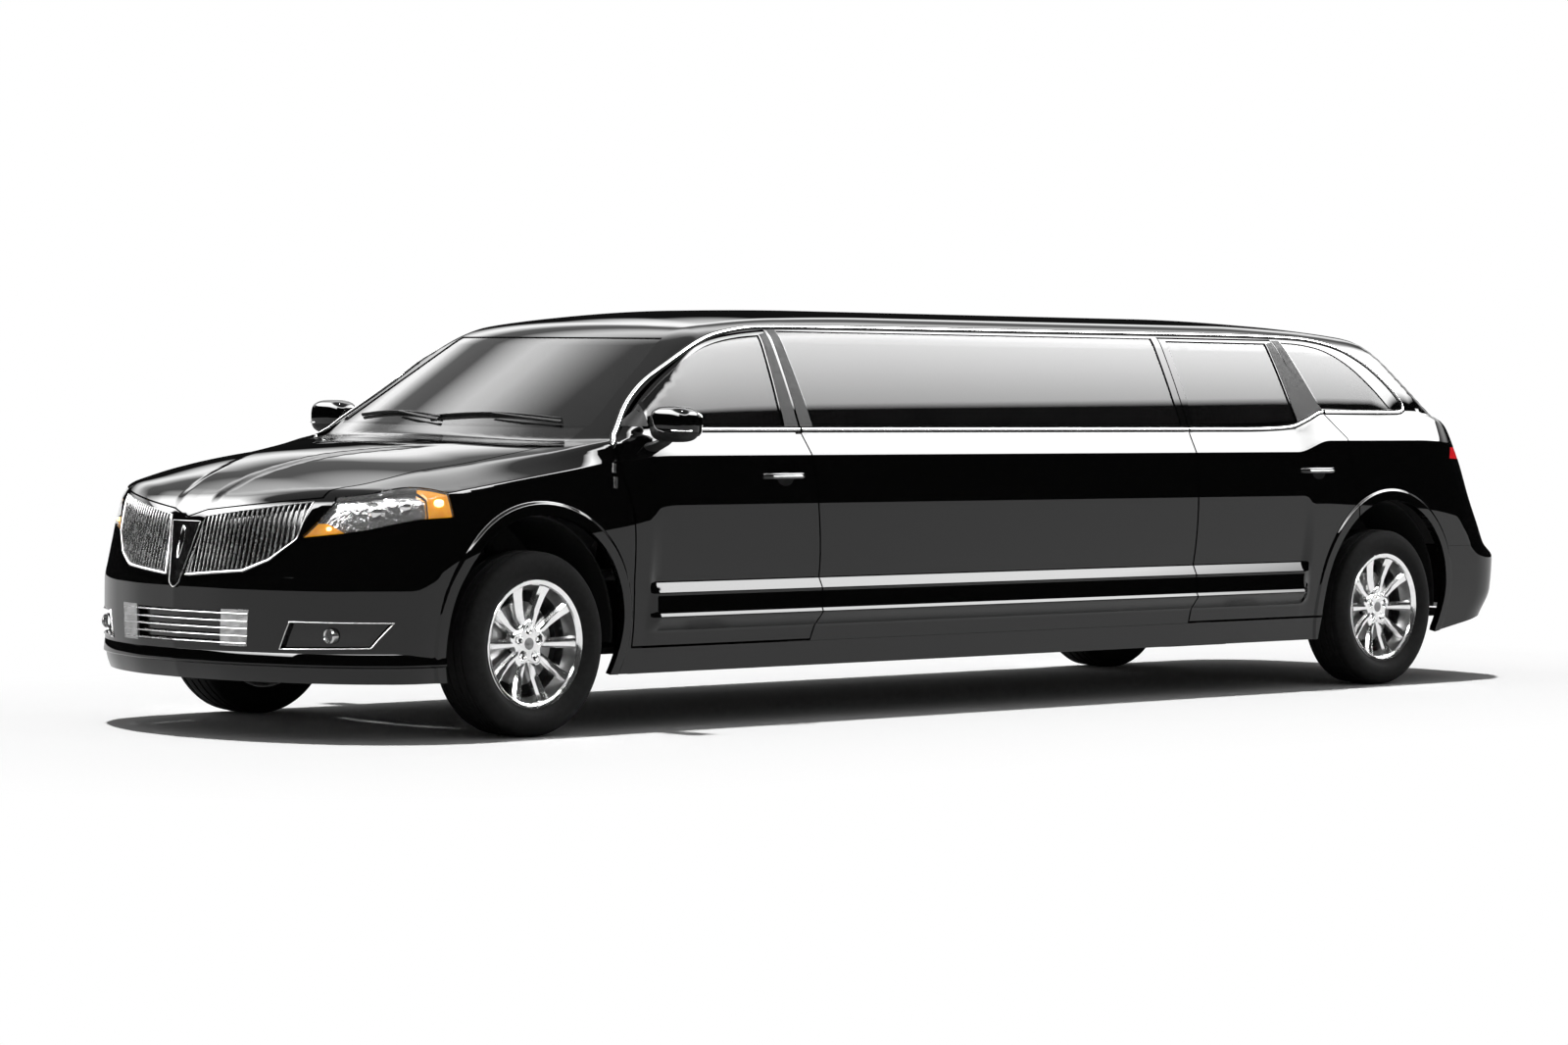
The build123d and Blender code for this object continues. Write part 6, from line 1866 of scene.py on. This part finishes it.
# %% Cushions
def cushion(centre, size, height, lean=0.0, channels=4, along=0):
    """A pillow over a square from -1 to 1 in u and v.

    Its top is the height times (1 - u^6)(1 - v^6) to the power 0.35, higher by a quarter in
    the middle and pressed in by 9 mm at each channel; its belly is a third as deep. The
    channels cross the direction named by along. It's turned by lean about the car's cross axis."""
    u = np.sin(np.linspace(-math.pi / 2, math.pi / 2, 41))[:, None]
    v = np.sin(np.linspace(-math.pi / 2, math.pi / 2, 57))[None]
    border = np.clip((1 - u ** 6) * (1 - v ** 6), 0, 1) ** 0.35
    ways = (u + 0 * v, v + 0 * u)[along]
    lines = np.linspace(-1, 1, channels + 2)[1:-1]
    pressed = sum(np.exp(-((ways - line) * size[along] / 2 / 0.011) ** 2) for line in lines)
    top = border * (height * (1 + 0.25 * (1 - u * u) * (1 - v * v)) - 0.009 * pressed)
    belly = -0.33 * height * border
    x, y = u * size[0] / 2 + 0 * v, v * size[1] / 2 + 0 * u
    rings = np.concatenate([np.stack([x, y, top], -1), np.stack([x, y, belly], -1)[:, ::-1]], axis=1)
    turn = np.array(((math.cos(lean), 0, math.sin(lean)), (0, 1, 0), (-math.sin(lean), 0, math.cos(lean))))
    return closed(rings @ turn.T + np.asarray(centre, float))


def turned_flat(part, centre, angle):
    """A part turned about an upright line through the centre."""
    turn = np.array((
        (math.cos(angle), -math.sin(angle), 0), (math.sin(angle), math.cos(angle), 0), (0, 0, 1)
    ))
    return {**part, "p": (part["p"] - centre) @ turn.T + centre}


# x and z of the middle, size, height, lean, channels and their direction
FRONT_PADS = (
    ((front(-1.095), 0.582), (0.430, 0.450), 0.040, 0.065, 5, 1),
    ((front(-1.400), 0.895), (0.560, 0.440), 0.045, -math.radians(76.5), 5, 1),
    ((front(-1.555), 1.275), (0.130, 0.270), 0.035, -math.radians(79), 1, 0),
)
front_pads = [cushion((x, y, z), *rest) for y in (0.400, -0.400) for (x, z), *rest in FRONT_PADS]
seat_pads = solid("front_seat_cushions", "body", LEATHER, front_pads, angle=60)
sofa_start, sofa_end = rear(1.500), front(-1.760)
count = 5
length = (sofa_end - sofa_start) / count
sofa_pads = []
for k in range(count):
    x = sofa_start + (k + 0.5) * length
    sofa_pads.append(cushion((x, -0.468, 0.738), (length - 0.006, 0.295), 0.045, 0, 5, 0))
    upright = cushion((x, -0.668, 0.915), (0.345, length - 0.006), 0.035, math.radians(-80), 5, 1)
    sofa_pads.append(turned_flat(upright, np.array((x, -0.668, 0.915)), math.pi / 2))
bench_pads = []
for k in (-1, 0, 1):
    bench_pads.append(cushion((rear(0.355), k * 0.400, 0.738), (0.430, 0.392), 0.045, 0.03, 5, 1))
    bench_pads.append(
        cushion((rear(0.050), k * 0.400, 1.010), (0.520, 0.392), 0.045, math.radians(-77), 5, 1)
    )
lounge_pads = solid("lounge_cushions", "body", LEATHER, [*sofa_pads, *bench_pads], angle=60)

# %% [markdown]
# ## The studio
# A long lens stands far off at the front left corner, a little above the headlamps, so that a
# car of nearly eight metres is seen whole with little foreshortening. It is aimed by three
# turns: round the vertical, down, and a slight roll about its own line of sight.

# %% Camera
camera_data = bpy.data.cameras.new("camera")
SENSOR, FOCAL = 36, 3.0978125  # the sensor's width in mm, and the focal length in such widths
camera_data.lens = FOCAL * SENSOR
camera_data.sensor_width = SENSOR
camera = bpy.data.objects.new("camera", camera_data)
bpy.context.scene.collection.objects.link(camera)
CAMERA_PLACE = (15.9545, 14.986, 1.459)
YAW, PITCH, ROLL = 224.045, -1.774, 0.671  # degrees
yaw, pitch, roll = math.radians(YAW), math.radians(PITCH), math.radians(ROLL)
ahead = np.array((math.cos(yaw) * math.cos(pitch), math.sin(yaw) * math.cos(pitch), math.sin(pitch)))
right = np.cross(ahead, (0, 0, 1))
right /= np.linalg.norm(right)
up = np.cross(right, ahead)
right, up = math.cos(roll) * right + math.sin(roll) * up, -math.sin(roll) * right + math.cos(roll) * up
turn = Matrix(np.stack([right, up, -ahead], 1).tolist()).to_4x4()
camera.matrix_world = Matrix.Translation(CAMERA_PLACE) @ turn
camera_data.clip_end = 300
bpy.context.scene.camera = camera
bpy.context.scene.view_settings.view_transform = "Standard"

# %% [markdown]
# ## Floor
# The floor is plain matt white and keeps the car's shadow. Beyond the shadow's reach it fades
# to full white for the eye alone, so no horizon shows; every other ray meets the same matt
# floor. The black lacquer mirrors it, which is what makes the lower flanks dark grey.

# %% Floor
FLOOR_HALF = 60.0
floor_mesh = bpy.data.meshes.new("floor")
corners = oblong(-FLOOR_HALF, FLOOR_HALF, -FLOOR_HALF, FLOOR_HALF)
floor_mesh.from_pydata([(x, y, 0) for x, y in corners], [], [(0, 1, 2, 3)])
floor = bpy.data.objects.new("floor", floor_mesh)
bpy.context.scene.collection.objects.link(floor)
floor_finish = bpy.data.materials.new("studio_floor")
floor_finish.use_nodes = True
floor_tree = floor_finish.node_tree
floor_tree.nodes.clear()
start = Wire(floor_tree)
where = start.new("ShaderNodeTexCoord", out=3)
px = start.new("ShaderNodeSeparateXYZ", {"Vector": where}, out=0)
py = Wire(floor_tree, px.socket.node.outputs[1])
SHADOW_X, SHADOW_Y, FADE = 3.9, 0.9, (0.3, 2.2)  # the rectangle of the shadow, and the fade round it
beyond_x = start.maths("MAXIMUM", start.maths("ABSOLUTE", px) - SHADOW_X, 0.0)
beyond_y = start.maths("MAXIMUM", start.maths("ABSOLUTE", py) - SHADOW_Y, 0.0)
away = start.maths("SQRT", beyond_x * beyond_x + beyond_y * beyond_y)
seen = start.new("ShaderNodeLightPath", out=0)
fade = start.maths("MULTIPLY", away.between(*FADE), seen)
matt = start.new("ShaderNodeBsdfDiffuse", {"Color": rgb(0.90)})
glow = start.new("ShaderNodeEmission", {"Color": rgb(1.0), "Strength": 1.0})
mixed = start.new("ShaderNodeMixShader", {0: fade, 1: matt, 2: glow})
start.new("ShaderNodeOutputMaterial", {"Surface": mixed})
floor_mesh.materials.append(floor_finish)

# %% [markdown]
# ## Soft boxes
# Black lacquer has no colour of its own to light, so the light goes on what it mirrors. Long
# soft boxes hang beside and over the car, on the world's sphere, where only mirrored rays meet
# them. Matt surfaces get an even dim light instead, and the eye sees plain white. The long box
# starts sharply at one height, which draws the sharp lower edge of the bright shoulder band;
# it leans along the car because the band is seen under a changing angle from nose to tail.

# %% World
world = bpy.data.worlds.new("studio")
bpy.context.scene.world = world
world.use_nodes = True
sky = world.node_tree
sky.nodes.clear()
start = Wire(sky)
direction = start.new("ShaderNodeTexCoord", out=0)
height = start.new("ShaderNodeSeparateXYZ", {"Vector": direction}, out=2)
level = start.maths("ARCSINE", height) * (180 / math.pi)
east = start.new("ShaderNodeSeparateXYZ", {"Vector": direction}, out=0)
north = Wire(sky, east.socket.node.outputs[1])
around = start.maths("ARCTAN2", north, east * -1.0) * (180 / math.pi)
lean = start.maths("MINIMUM", start.maths("MAXIMUM", 35.0 - around, -20.0), 12.0) * 0.5
on_side = start.maths("MAXIMUM", around.between(-10.0, 15.0), (around * -1.0).between(80.0, 110.0))
tilted = level + lean
# degrees over the horizon between which a box begins, and between which it ends
SHARP_EDGE, SIDE_GROWTH, SIDE_END = (29.6, 30.4), (30.4, 38.0), (45.0, 53.0)
LOW_START, LOW_END, HIGH_START, HIGH_END = (12.0, 18.0), (20.0, 25.0), (30.0, 38.0), (42.0, 54.0)
side_box = tilted.between(*SHARP_EDGE) * 14.0 + tilted.between(*SIDE_GROWTH) * 12.0
side_box = side_box * (1 - level.between(*SIDE_END) * 0.98)
low_box = level.between(*LOW_START) * (1 - level.between(*LOW_END) * 0.85) * 3.0
high_box = level.between(*HIGH_START) * (1 - level.between(*HIGH_END) * 0.97) * 4.0
gloss_light = on_side * side_box + (1 - on_side) * (low_box + high_box) + 0.01
is_gloss = start.new("ShaderNodeLightPath", out=3)
is_camera = start.new("ShaderNodeLightPath", out=0)
is_through = start.new("ShaderNodeLightPath", out=6)
plain = start.maths("MAXIMUM", is_camera, is_through)
strength = is_gloss * gloss_light + (1 - is_gloss) * 0.2
strength = plain * 1.0 + (1 - plain) * strength
background = start.new("ShaderNodeBackground", {"Color": rgb(1.0), "Strength": strength})
start.new("ShaderNodeOutputWorld", {"Surface": background})

# %% [markdown]
# ## Lamp
# One lamp high over the car, three degrees wide, gives the floor its shadow with a soft edge.

# %% Lamp
sun_data = bpy.data.lights.new("overhead", "SUN")
sun_data.energy = 2.7
sun_data.angle = math.radians(3)
sun = bpy.data.objects.new("overhead", sun_data)
bpy.context.scene.collection.objects.link(sun)
sun.matrix_world = Matrix.Rotation(math.radians(4), 4, "X")
